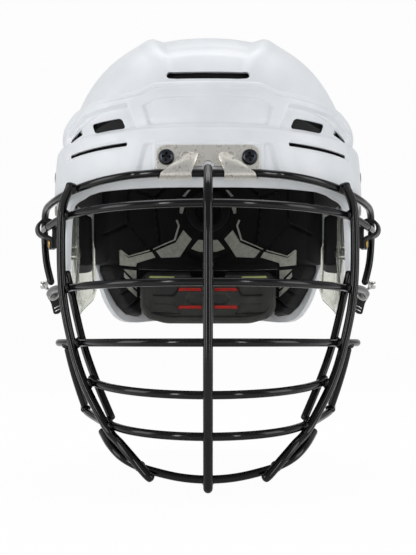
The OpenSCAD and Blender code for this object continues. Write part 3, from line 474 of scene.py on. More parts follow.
# The intake slot, the holes for the guide's screw and the adjusters, and one behind each small vent
guide_z = -55.7
adjuster_y, adjuster_z = -8, 24
through = [rounded_box((0, -0.118, 0.072), (0.051, 0.04, 0.005), 1, 0.0024, 8),
           rod_shape((0, 120, guide_z), (0, 140, guide_z), 2.2)]
for side in (-1, 1):
    through.append(rod_shape((side * 92, adjuster_y, adjuster_z), (side * 106, adjuster_y, adjuster_z), 2.2))
    through.append(prism([(-side * x * 1.02, 41 + (z - 41) * 1.4) for x, z in small_vent], -110, -20))
carve(rear_shell, merged(through))

# Length adjusters
# A black pan-head screw on each side passes through the front shell's slot, and a flat round steel nut on
# the rear shell's inside clamps the two shells at the chosen length.
black_screw = new_material("blackened_steel_screw", Base_Color=linear("#34363b"), Metallic=0.85)
place = {"Vector": (add_node(black_screw, "ShaderNodeTexCoord"), "Object")}
# The black oxide is rubbed a little brighter and smoother in spots of 1 mm by the screwdriver
rubbed = add_node(black_screw, "ShaderNodeTexNoise", {"Scale": 1 / 0.001, "Detail": 4.0}, place)
add_node(black_screw, "ShaderNodeMapRange", {"From Min": 0.4, "From Max": 0.72, "To Min": 0.34, "To Max": 0.2},
         {"Value": (rubbed, "Fac")}, "Roughness")
add_node(black_screw, "ShaderNodeBump", {"Strength": 0.25, "Distance": 0.0001}, {"Height": (rubbed, "Fac")}, "Normal")
zinc_nut = new_material("zinc_plated_steel", Base_Color=linear("#b4b3ad"), Metallic=1.0)
place = {"Vector": (add_node(zinc_nut, "ShaderNodeTexCoord"), "Object")}
# Zinc plate clouds over in grains of 2 mm
grains = add_node(zinc_nut, "ShaderNodeTexVoronoi", {"Scale": 1 / 0.002}, place)
add_node(zinc_nut, "ShaderNodeMapRange", {"To Min": 0.28, "To Max": 0.5}, {"Value": (grains, "Color")}, "Roughness")


def turned(profile, base, way, steps=48):
    # a lathe-turned piece: radius and height pairs in mm, spun about a line that leaves base along way
    shape = bmesh.new()
    verts = [shape.verts.new((r / 1000, 0, h / 1000)) for r, h in profile]
    edges = [shape.edges.new(ends) for ends in zip(verts, verts[1:])]
    bmesh.ops.spin(shape, geom=verts + edges, cent=(0, 0, 0), axis=(0, 0, 1), angle=2 * pi, steps=steps,
                   use_merge=True)
    bmesh.ops.remove_doubles(shape, verts=shape.verts, dist=2e-6)
    bmesh.ops.transform(shape, matrix=standing(Vector(base) / 1000, way), verts=shape.verts)
    bmesh.ops.recalc_face_normals(shape, faces=shape.faces)
    return shape


def screw_profile(head, tall, shank, length):
    # the underside of the head is at height 0, and its top is domed
    dome_part = [(head / 2 * cos(t), tall * 0.35 + tall * 0.65 * sin(t)) for t in np.linspace(0.12, pi / 2, 9)]
    return [(0, -length), (shank / 2 - 0.4, -length), (shank / 2, -length + 0.4), (shank / 2, 0),
            (head / 2 - 0.25, 0), (head / 2, 0.25)] + dome_part[:-1] + [(0, tall)]


def cross_recess(base, way, across, deep, spin):
    # a cross-shaped driver recess whose arms taper towards the bottom
    cutter = bmesh.new()
    a, b = across / 2000, across * 0.13 / 1000
    corners = [(a, -b), (a, b), (b, b)]
    for _ in range(3):
        corners += [(-y, x) for x, y in corners[-3:]]
    cutter.faces.new([cutter.verts.new((x, y, 0.001)) for x, y in corners])
    low = drawn_out(cutter, (0, 0, -0.001 - deep / 1000))
    bmesh.ops.scale(cutter, verts=low, vec=(0.5, 0.5, 1))
    bmesh.ops.recalc_face_normals(cutter, faces=cutter.faces)
    bmesh.ops.rotate(cutter, verts=cutter.verts, cent=(0, 0, 0), matrix=Matrix.Rotation(spin, 3, "Z"))
    bmesh.ops.transform(cutter, matrix=standing(Vector(base) / 1000, way), verts=cutter.verts)
    return cutter


def both(shape_for):
    # one shape of the two that shape_for gives for the left side, -1, and the right side, 1
    return merged([shape_for(side) for side in (-1, 1)])


heads = both(lambda side: turned(screw_profile(12, 2.2, 4, 11.5), (side * 106.5, adjuster_y, adjuster_z), (side, 0, 0)))
adjuster_screws = piece("adjuster_screws_black", heads, black_screw, "rear", ("shell_screws",))
carve(adjuster_screws, both(lambda side: cross_recess((side * 108.8, adjuster_y, adjuster_z), (side, 0, 0), 6.6, 1.5,
                                                      0.4)))
ring = [(2.1, 0), (4.6, 0), (5, 0.4), (5, 1.7), (4.6, 2.1), (2.1, 2.1), (2.1, 0)]
nuts = both(lambda side: turned(ring, (side * 93.3, adjuster_y, adjuster_z), (side, 0, 0)))
piece("adjuster_nuts_zinc", nuts, zinc_nut, "rear", ("shell_nuts",))

# Foam liners
# The rear shell is lined with 12 mm pads of soft black foam under a smooth knitted skin, glued in place: a
# cap in the crown, one pad over each ear, two at the back and two beside the nape. Grey skin panels are inlaid.
black_foam = new_material("black_liner_foam", Roughness=0.88, Sheen_Weight=0.06, Sheen_Roughness=0.4)
place = {"Vector": (add_node(black_foam, "ShaderNodeTexCoord"), "Object")}
# The skin's black is a little greyer in soft patches of 14 mm where heads have rubbed it
rubbed = add_node(black_foam, "ShaderNodeTexNoise", {"Scale": 1 / 0.014, "Detail": 3.0}, place)
add_node(black_foam, "ShaderNodeValToRGB", None, {"Fac": (rubbed, "Fac")}, "Base Color",
         ((0.3, "#050506"), (0.75, "#0c0c0e")))
# The knit shows as a fine pimpled texture, 0.9 mm from stitch to stitch
knit = add_node(black_foam, "ShaderNodeTexVoronoi", {"Scale": 1 / 0.0009}, place)
add_node(black_foam, "ShaderNodeBump", {"Strength": 0.3, "Distance": 0.00015}, {"Height": (knit, "Distance")}, "Normal")


def in_rear_shell(turn, z, off):
    # a point off mm outside the rear shell's outer face, at a turn in degrees from the front
    reach = np.where(np.abs(turn) < 90, rear_front, rear_back)
    return dome((rear_half_w, reach, rear_crown, rear_drop, 2.5), np.radians(turn), z, off)


def groove_depth(turn, z, grooves):
    # how much of a moulded groove reaches a point, from 0 to 1; turns are laid flat at the liner's radius
    width, radius = 1.7, 100
    deepest = np.zeros(np.shape(turn))
    for (t0, z0), (t1, z1) in grooves:
        dx, dz = radians(t1 - t0) * radius, z1 - z0
        px, pz = np.radians(turn - t0) * radius, z - z0
        share = np.clip((px * dx + pz * dz) / (dx * dx + dz * dz), 0, 1)
        away = np.hypot(px - share * dx, pz - share * dz)
        deepest = np.maximum(deepest, 1 - ease(away, 0.3, width))
    return deepest


def lining(turns, low, high, off, thick, inside, columns, rows, grooves, round_over=4.5):
    # a pad that lies against a shell between two turns and two heights, crowned, with rolled edges
    def place_at(u, w, side):
        bend = u + 0.10 * np.sin(2 * pi * u) / pi
        rise = w - 0.10 * np.sin(2 * pi * w) / pi
        turn = turns[0] + (turns[1] - turns[0]) * bend
        z0, z1 = between(np.abs(turn), low), between(np.abs(turn), high)
        z = z0 + (z1 - z0) * rise
        edge = np.minimum(np.minimum(z - z0, z1 - z),
                          np.radians(np.minimum(np.abs(turn - turns[0]), np.abs(turns[1] - turn))) * 96)
        rolled = np.sqrt(np.clip(1 - (1 - np.clip(edge / round_over, 0, 1)) ** 2, 0, 1))
        deep = thick * (0.32 + 0.62 * rolled + 0.06 * np.sin(pi * u) * np.sin(pi * w))
        deep = deep - 2.2 * groove_depth(turn, z, grooves) * rolled
        return inside(turn, z, off - side * deep)
    return pad_shape(columns, rows, place_at)


def pair(name, right, material, body, stands_for=None, crease=35):
    # a left and a right piece from the right one's shape; {} in a name becomes the side
    return [piece(name.format(side), shape, material, body.format(side),
                  (stands_for.format(side),) if stands_for else (), crease)
            for side, shape in (("left", mirrored(right)), ("right", right))]


side_grooves = [((88, 9), (80, 56)), ((64, 34), (84, 32)), ((84, 32), (112, 26))]
right = lining((64, 112), [(64, 9)], [(64, 56)], -3.3, 12, in_rear_shell, 60, 44, side_grooves)
ear_pads = pair("{}_ear_side_pad", right, black_foam, "rear", "{}_side_liner")
pocket = rod_shape((87, adjuster_y, adjuster_z), (99, adjuster_y, adjuster_z), 7)
for pad, hollow in zip(ear_pads, (mirrored(pocket), pocket)):
    carve(pad, hollow)
rear_grooves = [((116, -8), (136, 4)), ((136, 4), (150, -14)), ((150, -14), (168, -14)), ((136, 4), (133, 62)),
                ((168, -14), (179, -24)), ((158, -14), (154, 28)), ((154, 28), (166, 44)), ((154, 28), (134, 34)),
                ((150, -14), (142, -31)), ((166, 44), (179, 48))]
right = lining((116, 179.4), [(116, -31)], [(116, 62)], -3.3, 12, in_rear_shell, 96, 80, rear_grooves)
nape_low = [(121, -36), (127, -50), (133, -62), (139, -69), (146, -70.5)]
nape_grooves = [((124, -44), (136, -38)), ((129, -54), (140, -46)), ((135, -64), (146, -54))]
lower = lining((121, 146), nape_low, [(121, -31.3)], -3.7, 12, in_rear_shell, 40, 40, nape_grooves, 3.5)
rear_pads = (pair("{}_back_pad", right, black_foam, "rear", "{}_rear_liner")
             + pair("{}_nape_pad", lower, black_foam, "rear", "{}_nape_liner"))


def crown_at(u, w, side):
    # the crown cap, as rings round the top from its rim to its middle, with eight sewn gores and a ring seam
    turn = 360 * u
    rise = w * 90
    rim_z = 66.2
    off = -3.4 - side * 11.6 * (0.45 + 0.55 * np.sqrt(np.clip(1 - (1 - np.clip(w / 0.12, 0, 1)) ** 2, 0, 1)))
    around = np.mod(turn, 45)
    seam = (1 - ease(np.minimum(around, 45 - around) * (1 - w) * 1.4, 0.3, 2.6)) * ease(w, 0.02, 0.14)
    ring = 1 - ease(np.abs(w - 0.62) * 90, 0.8, 2.4)
    off = off + side * 1.9 * np.maximum(seam * (w < 0.62), ring)
    z = rim_z + (rear_crown + off - rim_z) * np.sin(np.radians(rise)) ** 0.9
    return in_rear_shell(np.where(turn > 180, turn - 360, turn), z, off)


crown = pad_shape(160, 46, crown_at, True)
crown_pad = piece("crown_cap_pad", crown, black_foam, "rear", ("crown_liner",))

# Grey skin panels
# Pieces of grey knitted skin are inlaid in the back and nape pads' faces, cut as bent bands and short
# bars round the ring pad. They are 0.3 mm proud and fused at their edges.
grey_skin = new_material("grey_knit_skin", Roughness=0.8, Sheen_Weight=0.1, Sheen_Roughness=0.4)
place = {"Vector": (add_node(grey_skin, "ShaderNodeTexCoord"), "Object")}
# The grey yarn is mottled in 3 mm flecks of two close greys
flecks = add_node(grey_skin, "ShaderNodeTexNoise", {"Scale": 1 / 0.003, "Detail": 6.0}, place)
add_node(grey_skin, "ShaderNodeValToRGB", None, {"Fac": (flecks, "Fac")}, "Base Color",
         ((0.35, "#c0c0b6"), (0.65, "#d5d5ca")))
# The stitches of the knit, 0.9 mm apart
knit = add_node(grey_skin, "ShaderNodeTexVoronoi", {"Scale": 1 / 0.0009}, place)
add_node(grey_skin, "ShaderNodeBump", {"Strength": 0.35, "Distance": 0.00015}, {"Height": (knit, "Distance")}, "Normal")


def cut_panel(outline, place_at, pitch=2.0, corners=0.0):
    # a flat outline, cut along a fine square grid so that it bends, given its thickness and laid in place
    shape = bmesh.new()
    shape.faces.new([shape.verts.new((a, b, 0)) for a, b in outline])
    if corners:
        bmesh.ops.bevel(shape, geom=shape.verts[:], offset=corners, segments=6, affect="VERTICES", profile=0.5,
                        material=-1)
    for axis in (0, 1):
        low, high = min(v.co[axis] for v in shape.verts), max(v.co[axis] for v in shape.verts)
        for cut in np.arange(low + pitch, high - 0.2 * pitch, pitch):
            plane = Vector((1, 0, 0)) if axis == 0 else Vector((0, 1, 0))
            bmesh.ops.bisect_plane(shape, geom=shape.verts[:] + shape.edges[:] + shape.faces[:], dist=1e-5,
                                   plane_co=plane * cut, plane_no=plane)
    drawn_out(shape, (0, 0, 1))
    set_points(shape, place_at(*np.array([v.co[:] for v in shape.verts]).T))
    bmesh.ops.recalc_face_normals(shape, faces=shape.faces)
    return shape


back_bands = [[(170.3, 1.5), (174.3, -6), (168.5, -21), (158.3, -22), (155, -16.5), (166.5, -9)],
              [(177, -6.5), (179, -6.8), (179, -16.5), (177.5, -16.5), (174, -14)],
              [(128, -18.5), (135.5, -24), (152.3, -17.5), (154.5, -22), (141.8, -27.5), (141.2, -30.4),
               (128.3, -30.4)],
              [(166.4, 9.5), (167.3, 10), (168.5, 5), (166.3, -7), (153.5, -15.6), (153, -14.9), (165.4, -6.6),
               (167.6, 5)],
              [(150.7, -16), (151, -16.9), (135.7, -23), (128.7, -19), (129.2, -18), (135.7, -22.1)],
              [(173.5, 34.5), (172.2, 34.5), (169.6, 29.5), (171, 29)],
              [(168.5, 22), (171, 22), (169.8, 15), (168.5, 15.5)]]
nape_bands = [[(131.5, -33.5), (141.2, -33.5), (141, -42.5)],
              [(131.5, -36), (141, -45.5), (141, -48.5), (131.5, -39.5)],
              [(132, -42.3), (141, -51), (141, -55), (132.8, -47.5)]]
upper = merged([cut_panel(outline, lambda turn, z, side: in_rear_shell(turn, z, -14.9 - 0.7 * side))
                for outline in back_bands])
lower = merged([cut_panel(outline, lambda turn, z, side: in_rear_shell(turn, z, -15.3 - 0.7 * side))
                for outline in nape_bands])
pair("{}_back_skin", upper, grey_skin, "rear", crease=20)
pair("{}_nape_skin", lower, grey_skin, "rear", crease=20)

# Nape felt
# A 2.5 mm strip of black felt is glued across the shell under the back pads, so that no white shows over
# the occipital pad.
felt = cut_panel([(147, -31.6), (213, -31.6), (213, -46), (147, -46)],
                 lambda turn, z, side: in_rear_shell(turn, z, -3.2 - 2.5 * side), 3.0, 2.0)
nape_felt = piece("nape_felt_strip", felt, black_foam, "rear", ())

# Ring pad
# A small ring of black foam is glued on the back pads where the back of the head touches, with a round
# hollow in its middle.
section = [(11.2, 0), (17.8, 0), (18, 0.6), (17.8, 2.6), (17, 3.6), (15.8, 4), (13.2, 4), (12, 3.6), (11.2, 2.6),
           (11, 0.6), (11.2, 0)]
ring_pad = piece("ring_pad_foam", turned(section, (0, 109, 17), (0, -1, 0), 72), black_foam, "rear",
                 ("rear_ring_pad",), 50)

# Brow pad
# An 11 mm foam pad lines the brow behind the bracket, glued to the front shell, with two hollows for the
# bracket's nuts and a row of moulded channels across it.
def in_front_shell(turn, z, off):
    # a point off mm outside the front shell's outer face
    return dome(front_dome, np.radians(turn), z, off)


brow_grooves = [((t, 8), (t, 50)) for t in (-44, -31, 31, 44)] + [((-18, 20), (-18, 50)), ((18, 20), (18, 50)),
                                                                  ((-31, 20), (31, 20))]
brow = lining((-57, 57), [(0, 8), (60, 8)], [(0, 50), (30, 47), (57, 35)], -3.3, 11, in_front_shell, 130, 40,
              brow_grooves)
brow_pad = piece("brow_pad_foam", brow, black_foam, "front", ("brow_pad",))
carve(brow_pad, both(lambda side: rod_shape((side * screw_x, -136, screw_z), (side * screw_x, -123, screw_z), 7.1)))

# Ear guards
# Each ear is covered by a 2 mm shield pressed from clear plastic, shallowly dished, with a flared lower
# edge. Two slotted screws hold it to the inside of the front shell over moulded standing bosses.
clear_plastic = new_material("clear_polycarbonate", Base_Color=linear("#f7f9ee"), Roughness=0.04, IOR=1.585,
                             Transmission_Weight=0.94)
place = {"Vector": (add_node(clear_plastic, "ShaderNodeTexCoord"), "Object")}
# Pressed sheet has slow ripples 12 mm apart that bend what is seen through it, and a haze of fine scuffs
ripples = add_node(clear_plastic, "ShaderNodeTexNoise", {"Scale": 1 / 0.012, "Detail": 1.0}, place)
add_node(clear_plastic, "ShaderNodeBump", {"Strength": 0.06, "Distance": 0.001}, {"Height": (ripples, "Fac")}, "Normal")
scuffs = add_node(clear_plastic, "ShaderNodeTexNoise", {"Scale": 1 / 0.002, "Detail": 6.0}, place)
add_node(clear_plastic, "ShaderNodeMapRange", {"From Min": 0.45, "From Max": 0.75, "To Min": 0.02, "To Max": 0.12},
         {"Value": (scuffs, "Fac")}, "Roughness")
# The guard's first and last turn in degrees, and the heights of its lower and upper edge over the turn
guard_front, guard_back = 58, 108
guard_low = [(58, -38), (61, -50), (66, -60), (74, -70), (82, -74), (90, -72), (98, -65), (104, -60), (108, -52)]
guard_high = [(58, -10), (61, 0), (66, 5), (96, 5), (102, -4), (108, -22)]


def on_guard(turn, z, off):
    # a point off mm outside the ear guards' outer face
    return dome(guard_dome, np.radians(turn), z, off)


def guard_at(u, w, side):
    turn = guard_front + (guard_back - guard_front) * u
    z0, z1 = soft_between(turn, guard_low, 0.8), soft_between(turn, guard_high, 0.8)
    z = z0 + (z1 - z0) * w
    from_ends = np.radians(np.minimum(turn - guard_front, guard_back - turn)) * 100
    inside_edge = np.minimum(np.minimum(z - z0, z1 - z), from_ends)
    # the sheet is dished inside a flared rim
    dish = ease(inside_edge, 1.5, 8)
    off = -0.4 * dish - 1.8 * side - 6 * ease(turn, 88, guard_back)
    off = off + 0.5 * (1 - dish) - 0.35 * (1 - ease(inside_edge, 0, 0.8)) * (1 - 2 * side)
    return on_guard(turn, z, off)


shield = [pad_shape(150, 130, guard_at)]
for index in (0, 1):
    start, way = guard_screw_line(index, 1)
    shield.append(turned([(2.1, -1.6), (4.5, -1.6), (4.5, 2.6), (4.2, 3.1), (2.1, 3.1), (2.1, -1.6)], start, way))
pair("{}_ear_shield", merged(shield), clear_plastic, "front", "{}_ear_guard", 40)

guard_screws, guard_nuts, slots = [], [], []
for side in (-1, 1):
    for index in (0, 1):
        start, way = guard_screw_line(index, side)
        guard_screws.append(turned(screw_profile(8, 1.8, 4, 13), start - 2.4 * way, -way))
        slot = bmesh.new()
        lean = Matrix.Rotation(0.5 + index, 4, "Z")
        bmesh.ops.create_cube(slot, size=1, matrix=lean @ Matrix.Diagonal((0.0013, 0.01, 0.0018, 1)))
        bmesh.ops.transform(slot, matrix=standing((start - 4.2 * way) / 1000, -way), verts=slot.verts)
        slots.append(slot)
        nut = [(2.1, 0), (3.8, 0), (4, 0.3), (4, 1.2), (3.2, 1.8), (2.1, 1.8), (2.1, 0)]
        guard_nuts.append(turned(nut, start + 8.6 * way, way))
slotted = piece("ear_shield_screws", merged(guard_screws), black_screw, "front", ("ear_guard_screws",))
carve(slotted, merged(slots))
piece("ear_shield_nuts", merged(guard_nuts), zinc_nut, "front", ("ear_guard_nuts",))

# Temple pads
# A block of foam under smooth black skin is glued to each ear shield at the temple, with a bevelled top
# face and a pointed lower corner.
black_skin = new_material("black_moulded_skin", Base_Color=linear("#030304"), Specular_IOR_Level=0.15)
place = {"Vector": (add_node(black_skin, "ShaderNodeTexCoord"), "Object")}
# Moulded skin has a leather-like grain, 1.2 mm across, and shines a little where it is rubbed
grain = add_node(black_skin, "ShaderNodeTexVoronoi", {"Scale": 1 / 0.0012}, place, feature="SMOOTH_F1")
add_node(black_skin, "ShaderNodeBump", {"Strength": 0.3, "Distance": 0.0002}, {"Height": (grain, "Distance")}, "Normal")
worn = add_node(black_skin, "ShaderNodeTexNoise", {"Scale": 1 / 0.010, "Detail": 3.0}, place)
add_node(black_skin, "ShaderNodeMapRange", {"From Min": 0.3, "From Max": 0.7, "To Min": 0.5, "To Max": 0.34},
         {"Value": (worn, "Fac")}, "Roughness")
temple = lining((69, 87), [(69, -40), (75, -45), (81, -42), (87, -30)], [(69, -6)], -3.0, 12.4, on_guard, 40, 50,
                [((71, -38), (72.5, -9)), ((72.5, -9), (84.5, -9)), ((84.5, -9), (84.5, -29)),
                 ((84.5, -29), (76, -40))], 3.0)
for pad in pair("{}_temple_block", temple, black_skin, "front", "{}_temple_pad"):
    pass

# Occipital pad
# A curved cradle of dark grey moulded rubber holds the back of the head. It slides on a post in a guide
# block that one screw fixes to the rear shell, and a red rubber insert shows through four slots in it.
grey_rubber = new_material("dark_grey_rubber", Specular_IOR_Level=0.35)
place = {"Vector": (add_node(grey_rubber, "ShaderNodeTexCoord"), "Object")}
# Moulded rubber blooms a little paler in patches of 12 mm
bloom = add_node(grey_rubber, "ShaderNodeTexNoise", {"Scale": 1 / 0.012, "Detail": 4.0}, place)
add_node(grey_rubber, "ShaderNodeValToRGB", None, {"Fac": (bloom, "Fac")}, "Base Color",
         ((0.3, "#2f2f2e"), (0.75, "#403f3c")))
# The mould was spark-finished, which leaves a fine 0.4 mm stipple and a satin gloss
stipple = add_node(grey_rubber, "ShaderNodeTexNoise", {"Scale": 1 / 0.0004, "Detail": 2.0}, place)
add_node(grey_rubber, "ShaderNodeMapRange", {"To Min": 0.45, "To Max": 0.65}, {"Value": (stipple, "Fac")}, "Roughness")
add_node(grey_rubber, "ShaderNodeBump", {"Strength": 0.25, "Distance": 0.00008}, {"Height": (stipple, "Fac")}, "Normal")
red_rubber = new_material("red_soft_rubber", Roughness=0.5)
place = {"Vector": (add_node(red_rubber, "ShaderNodeTexCoord"), "Object")}
# Pigment settles unevenly, so the red deepens in streaks 4 mm apart
pigment = add_node(red_rubber, "ShaderNodeTexNoise", {"Scale": 1 / 0.004, "Detail": 3.0}, place)
add_node(red_rubber, "ShaderNodeValToRGB", None, {"Fac": (pigment, "Fac")}, "Base Color",
         ((0.3, "#b3160a"), (0.7, "#d0200f")))
lime_rubber = new_material("lime_soft_rubber", Roughness=0.5)
place = {"Vector": (add_node(lime_rubber, "ShaderNodeTexCoord"), "Object")}
# The pale rubber yellows in soft spots of 5 mm
yellowed = add_node(lime_rubber, "ShaderNodeTexNoise", {"Scale": 1 / 0.005, "Detail": 2.0}, place)
add_node(lime_rubber, "ShaderNodeValToRGB", None, {"Fac": (yellowed, "Fac")}, "Base Color",
         ((0, "#b2c070"), (1, "#c3cb84")))
# Outlines in front view, in mm, the heights of the slots, and where the line lies that the cradle bends round
cradle_outline = [(-48, -35.2), (48, -35.2), (54, -41), (54, -64.4), (49, -72.4), (34, -76.4), (-34, -76.4),
                  (-49, -72.4), (-54, -64.4), (-54, -41)]
sunk_panels = [[(22, -45), (44, -46), (44, -54), (27, -54)], [(26, -61), (44, -61), (44, -68), (22, -69)]]
face_panel = [(-45, -43.5), (45, -43.5), (48.5, -47), (48.5, -63), (45, -68), (32, -71), (-32, -71), (-45, -68),
              (-48.5, -63), (-48.5, -47)]
middle_panel = [(-14, -51.5), (14, -51.5), (18, -56.2), (14, -61), (-14, -61), (-18, -56.2)]
slot_heights = (-49.1, -63.3)
bend_y = -28


def cradle_at(x, z, side):
    ax = np.abs(x)
    sink = 1.4 * ease(outline_distance(x, z, face_panel), -0.5, 0.6)
    for hollow in sunk_panels:
        sink = sink + 1.5 * ease(outline_distance(ax, z, hollow), -0.3, 0.5)
    sink = sink + 0.9 * ease(outline_distance(x, z, middle_panel), -0.3, 0.5)
    sink = sink + 3.2 * (1 - ease(outline_distance(x, z, cradle_outline), -0.2, 3.4)) ** 2
    reach = 129 - side * (9 - sink)
    return x, bend_y + np.sqrt(reach ** 2 - x ** 2), z


cradle = piece("occipital_cradle", cut_panel(cradle_outline, cradle_at, 0.8, 3.0), grey_rubber, "occipital",
               ("occipital_pad",), 50)
slot_outlines = [[(s * x, z + dz) for x, dz in ((5, 1.5), (23, 1.5), (25, -1.5), (5, -1.5))]
                 for s in (-1, 1) for z in slot_heights]
gaps = [prism(outline if outline[0][0] > 0 else outline[::-1], 85, 106) for outline in slot_outlines]
carve(cradle, merged(gaps), crease=50)
carve(cradle, prism([(-16, -30), (16, -30), (13, -40.6), (-13, -40.6)], 70, 110), crease=50)
carve(cradle, rod_shape((0, 98, guide_z), (0, 122, guide_z), 3.95), "UNION", 50)


def band_at(low, high):
    # a band that bends with the cradle between two distances from that line
    return lambda x, z, side: (x, bend_y + np.sqrt((low + side * (high - low)) ** 2 - x ** 2), z)


insert_parts = [cut_panel([(-27.6, -67.3), (27.6, -67.3), (27.6, -44.1), (-27.6, -44.1)],
                          band_at(131.2, 129.4), 4.0, 2.0)]
for side in (-1, 1):
    for z in slot_heights:
        bar = [(side * 5.3, z - 1.25), (side * 24.4, z - 1.25), (side * 22.7, z + 1.25), (side * 5.3, z + 1.25)]
        insert_parts.append(cut_panel(bar, band_at(130, 121.9), 2.0))
piece("occipital_red_insert", merged(insert_parts), red_rubber, "occipital", ("occipital_insert",))
strips = both(lambda side: cut_panel([(side * 27, -40.4), (side * 47, -40.4), (side * 46, -38.9), (side * 27, -38.9)],
                                     band_at(123, 119.6), 2.0, 0.4))
piece("occipital_lime_strips", strips, lime_rubber, "occipital", ())
guide = rounded_box((0, 0.1165, guide_z / 1000), (0.018, 0.017, 0.018), 1, 0.003, 5)
guide_block = piece("occipital_guide_block", guide, grey_rubber, "rear", ("occipital_guide",))
carve(guide_block, rod_shape((0, 104, guide_z), (0, 122.4, guide_z), 4.05))
back_screw = piece("guide_screw_black", turned(screw_profile(10, 2, 4, 8), (0, 131.2, guide_z), (0, 1, 0)),
                   black_screw, "rear", ("guide_screw",))
carve(back_screw, cross_recess((0, 133.3, guide_z), (0, 1, 0), 5.6, 1.3, 0.2))

# Bracket
# One strip of 1.2 mm stainless steel is pressed flat against the brow, and its two legs are rolled forward
# round the top wire so that the cage can swing in them. The front flaps lean out at their rounded tips.
steel = new_material("tumbled_stainless_steel", Metallic=1.0)
place = {"Vector": (add_node(steel, "ShaderNodeTexCoord"), "Object")}
# Tumbling leaves a warm grey with fine dark specks and pale scratches, drawn 1.8 mm apart so that they show
specks = add_node(steel, "ShaderNodeTexNoise", {"Scale": 1 / 0.0018, "Detail": 5.0, "Roughness": 0.65}, place)
add_node(steel, "ShaderNodeValToRGB", None, {"Fac": (specks, "Fac")}, "Base Color",
         ((0.34, "#a8a39b"), (0.46, "#e2ded6")))
add_node(steel, "ShaderNodeMapRange", {"From Min": 0.3, "From Max": 0.7, "To Min": 0.44, "To Max": 0.3},
         {"Value": (specks, "Fac")}, "Roughness")
add_node(steel, "ShaderNodeBump", {"Strength": 0.3, "Distance": 0.0001}, {"Height": (specks, "Fac")}, "Normal")
# The middle of the hinge, in mm, the plate's two faces, and its outline: a round notch between the two legs,
# and on each side a leg and a round corner
hinge_y, hinge_z = -138.5, 7
plate_front, plate_back = -136.02, -134.82
notch = [(3.2, 11.5)] + [(3.2 * cos(t), 11.8 + 3.2 * sin(t)) for t in np.linspace(0, pi, 17)] + [(-3.2, 11.5)]
corner = [(24.5 + 6 * cos(t), 18.4 + 6 * sin(t)) for t in np.linspace(0, pi / 2, 9)]
right_edge = [(9.6, 11.5), (9.6, hinge_z), (30.5, hinge_z)] + corner
plate = prism(notch[::-1] + right_edge + [(-x, z) for x, z in reversed(right_edge)], plate_front, plate_back)
flap_height = 11.9


def hook_at(u, w, side):
    # the strip's middle line: down behind the wire, round under it and up the front to a leaning tip
    bend = np.interp(w, [0, 0.06, 0.56, 1], [0, 0, pi, pi])
    climb = np.interp(w, [0, 0.56, 1], [0, 0, flap_height])
    lean = -2.0 * ease(climb, 5.5, 13.5) * (climb / flap_height)
    reach = 3.08 + 1.2 * (side - 0.5)
    dish = 0.7 * (4 * u * (1 - u)) ** 0.8 * ease(climb, 0, 5) + 0.9 * (1 - u) * ease(climb, 2, 11)
    y = hinge_y + reach * np.cos(bend) + lean + dish
    z = hinge_z - reach * np.sin(bend) + climb + np.where(w < 0.06, (0.06 - w) * 12, 0)
    inner = np.interp(climb, [0, flap_height], [9.6, 5.1])
    outer = np.interp(w, [0, 0.1, 0.56], [30.5, 30.2, 27.4])
    outer = outer - np.interp(climb, [0, 8.6, flap_height], [0, 11.0, 12.2])
    tip = np.clip(flap_height - climb, 0, 2.4)
    round_tip = 2.4 - np.sqrt(np.clip(2.4 ** 2 - (2.4 - tip) ** 2, 0, None))
    x = inner + round_tip + (outer - inner - 2.0 * round_tip) * u
    return x, y, z


hook = pad_shape(16, 60, hook_at)
bracket = piece("forehead_bracket_steel", merged([plate, hook, mirrored(hook)]), steel, "front",
                ("forehead_bracket",), 30)
carve(bracket, both(lambda side: rod_shape((side * screw_x, -140, screw_z), (side * screw_x, -130, screw_z), 2.2)),
      crease=30)


def soft_edges(obj, width, segments, sharp):
    # rounds the edges that turn by more than sharp degrees
    rounding = obj.modifiers.new("soft_edges", "BEVEL")
    rounding.width, rounding.segments = width, segments
    rounding.limit_method, rounding.angle_limit = "ANGLE", radians(sharp)
    finish_mesh(obj)


soft_edges(bracket, 0.00022, 2, 50)

# Bracket screws
# Two black pan-head screws with cross recesses pass through the bracket and the brow into steel barrel
# nuts, whose flanges lie in the brow pad's hollows.
heads = both(lambda side: turned(screw_profile(9.4, 2.4, 4, 14.5), (side * screw_x, plate_front, screw_z),
                                 (0, -1, 0)))
bracket_screws = piece("bracket_screws_black", heads, black_screw, "front", ("bracket_screws",))
carve(bracket_screws, both(lambda side: cross_recess((side * screw_x, -138.45, screw_z), (0, -1, 0), 6.8, 2.0,
                                                     0.1 * side)))
barrel = [(2.1, 0), (5.6, 0), (6, 0.4), (6, 1.1), (5.6, 1.5), (3.4, 1.5), (3.2, 1.7), (3.2, 9), (2.1, 9), (2.1, 0)]
nuts = both(lambda side: turned(barrel, (side * screw_x, -123.52, screw_z), (0, -1, 0)))
piece("bracket_nuts_zinc", nuts, zinc_nut, "front", ("bracket_nuts",))

# Cage wires
# The cage is bent from 4.8 mm steel wire with 5.5 mm upright bars, welded at every crossing and dipped in
# glossy black polyamide, which rounds the cut ends and fills the corners of the welds.
dipped_black = new_material("dipped_black_steel", Base_Color=linear("#020203"), IOR=1.4)
place = {"Vector": (add_node(dipped_black, "ShaderNodeTexCoord"), "Object")}
# Runs in the dip leave long soft swells that bend the highlights, 9 mm from crest to crest
runs = add_node(dipped_black, "ShaderNodeTexNoise", {"Scale": 1 / 0.009, "Detail": 2.0}, place)
add_node(dipped_black, "ShaderNodeBump", {"Strength": 0.05, "Distance": 0.0006}, {"Height": (runs, "Fac")}, "Normal")
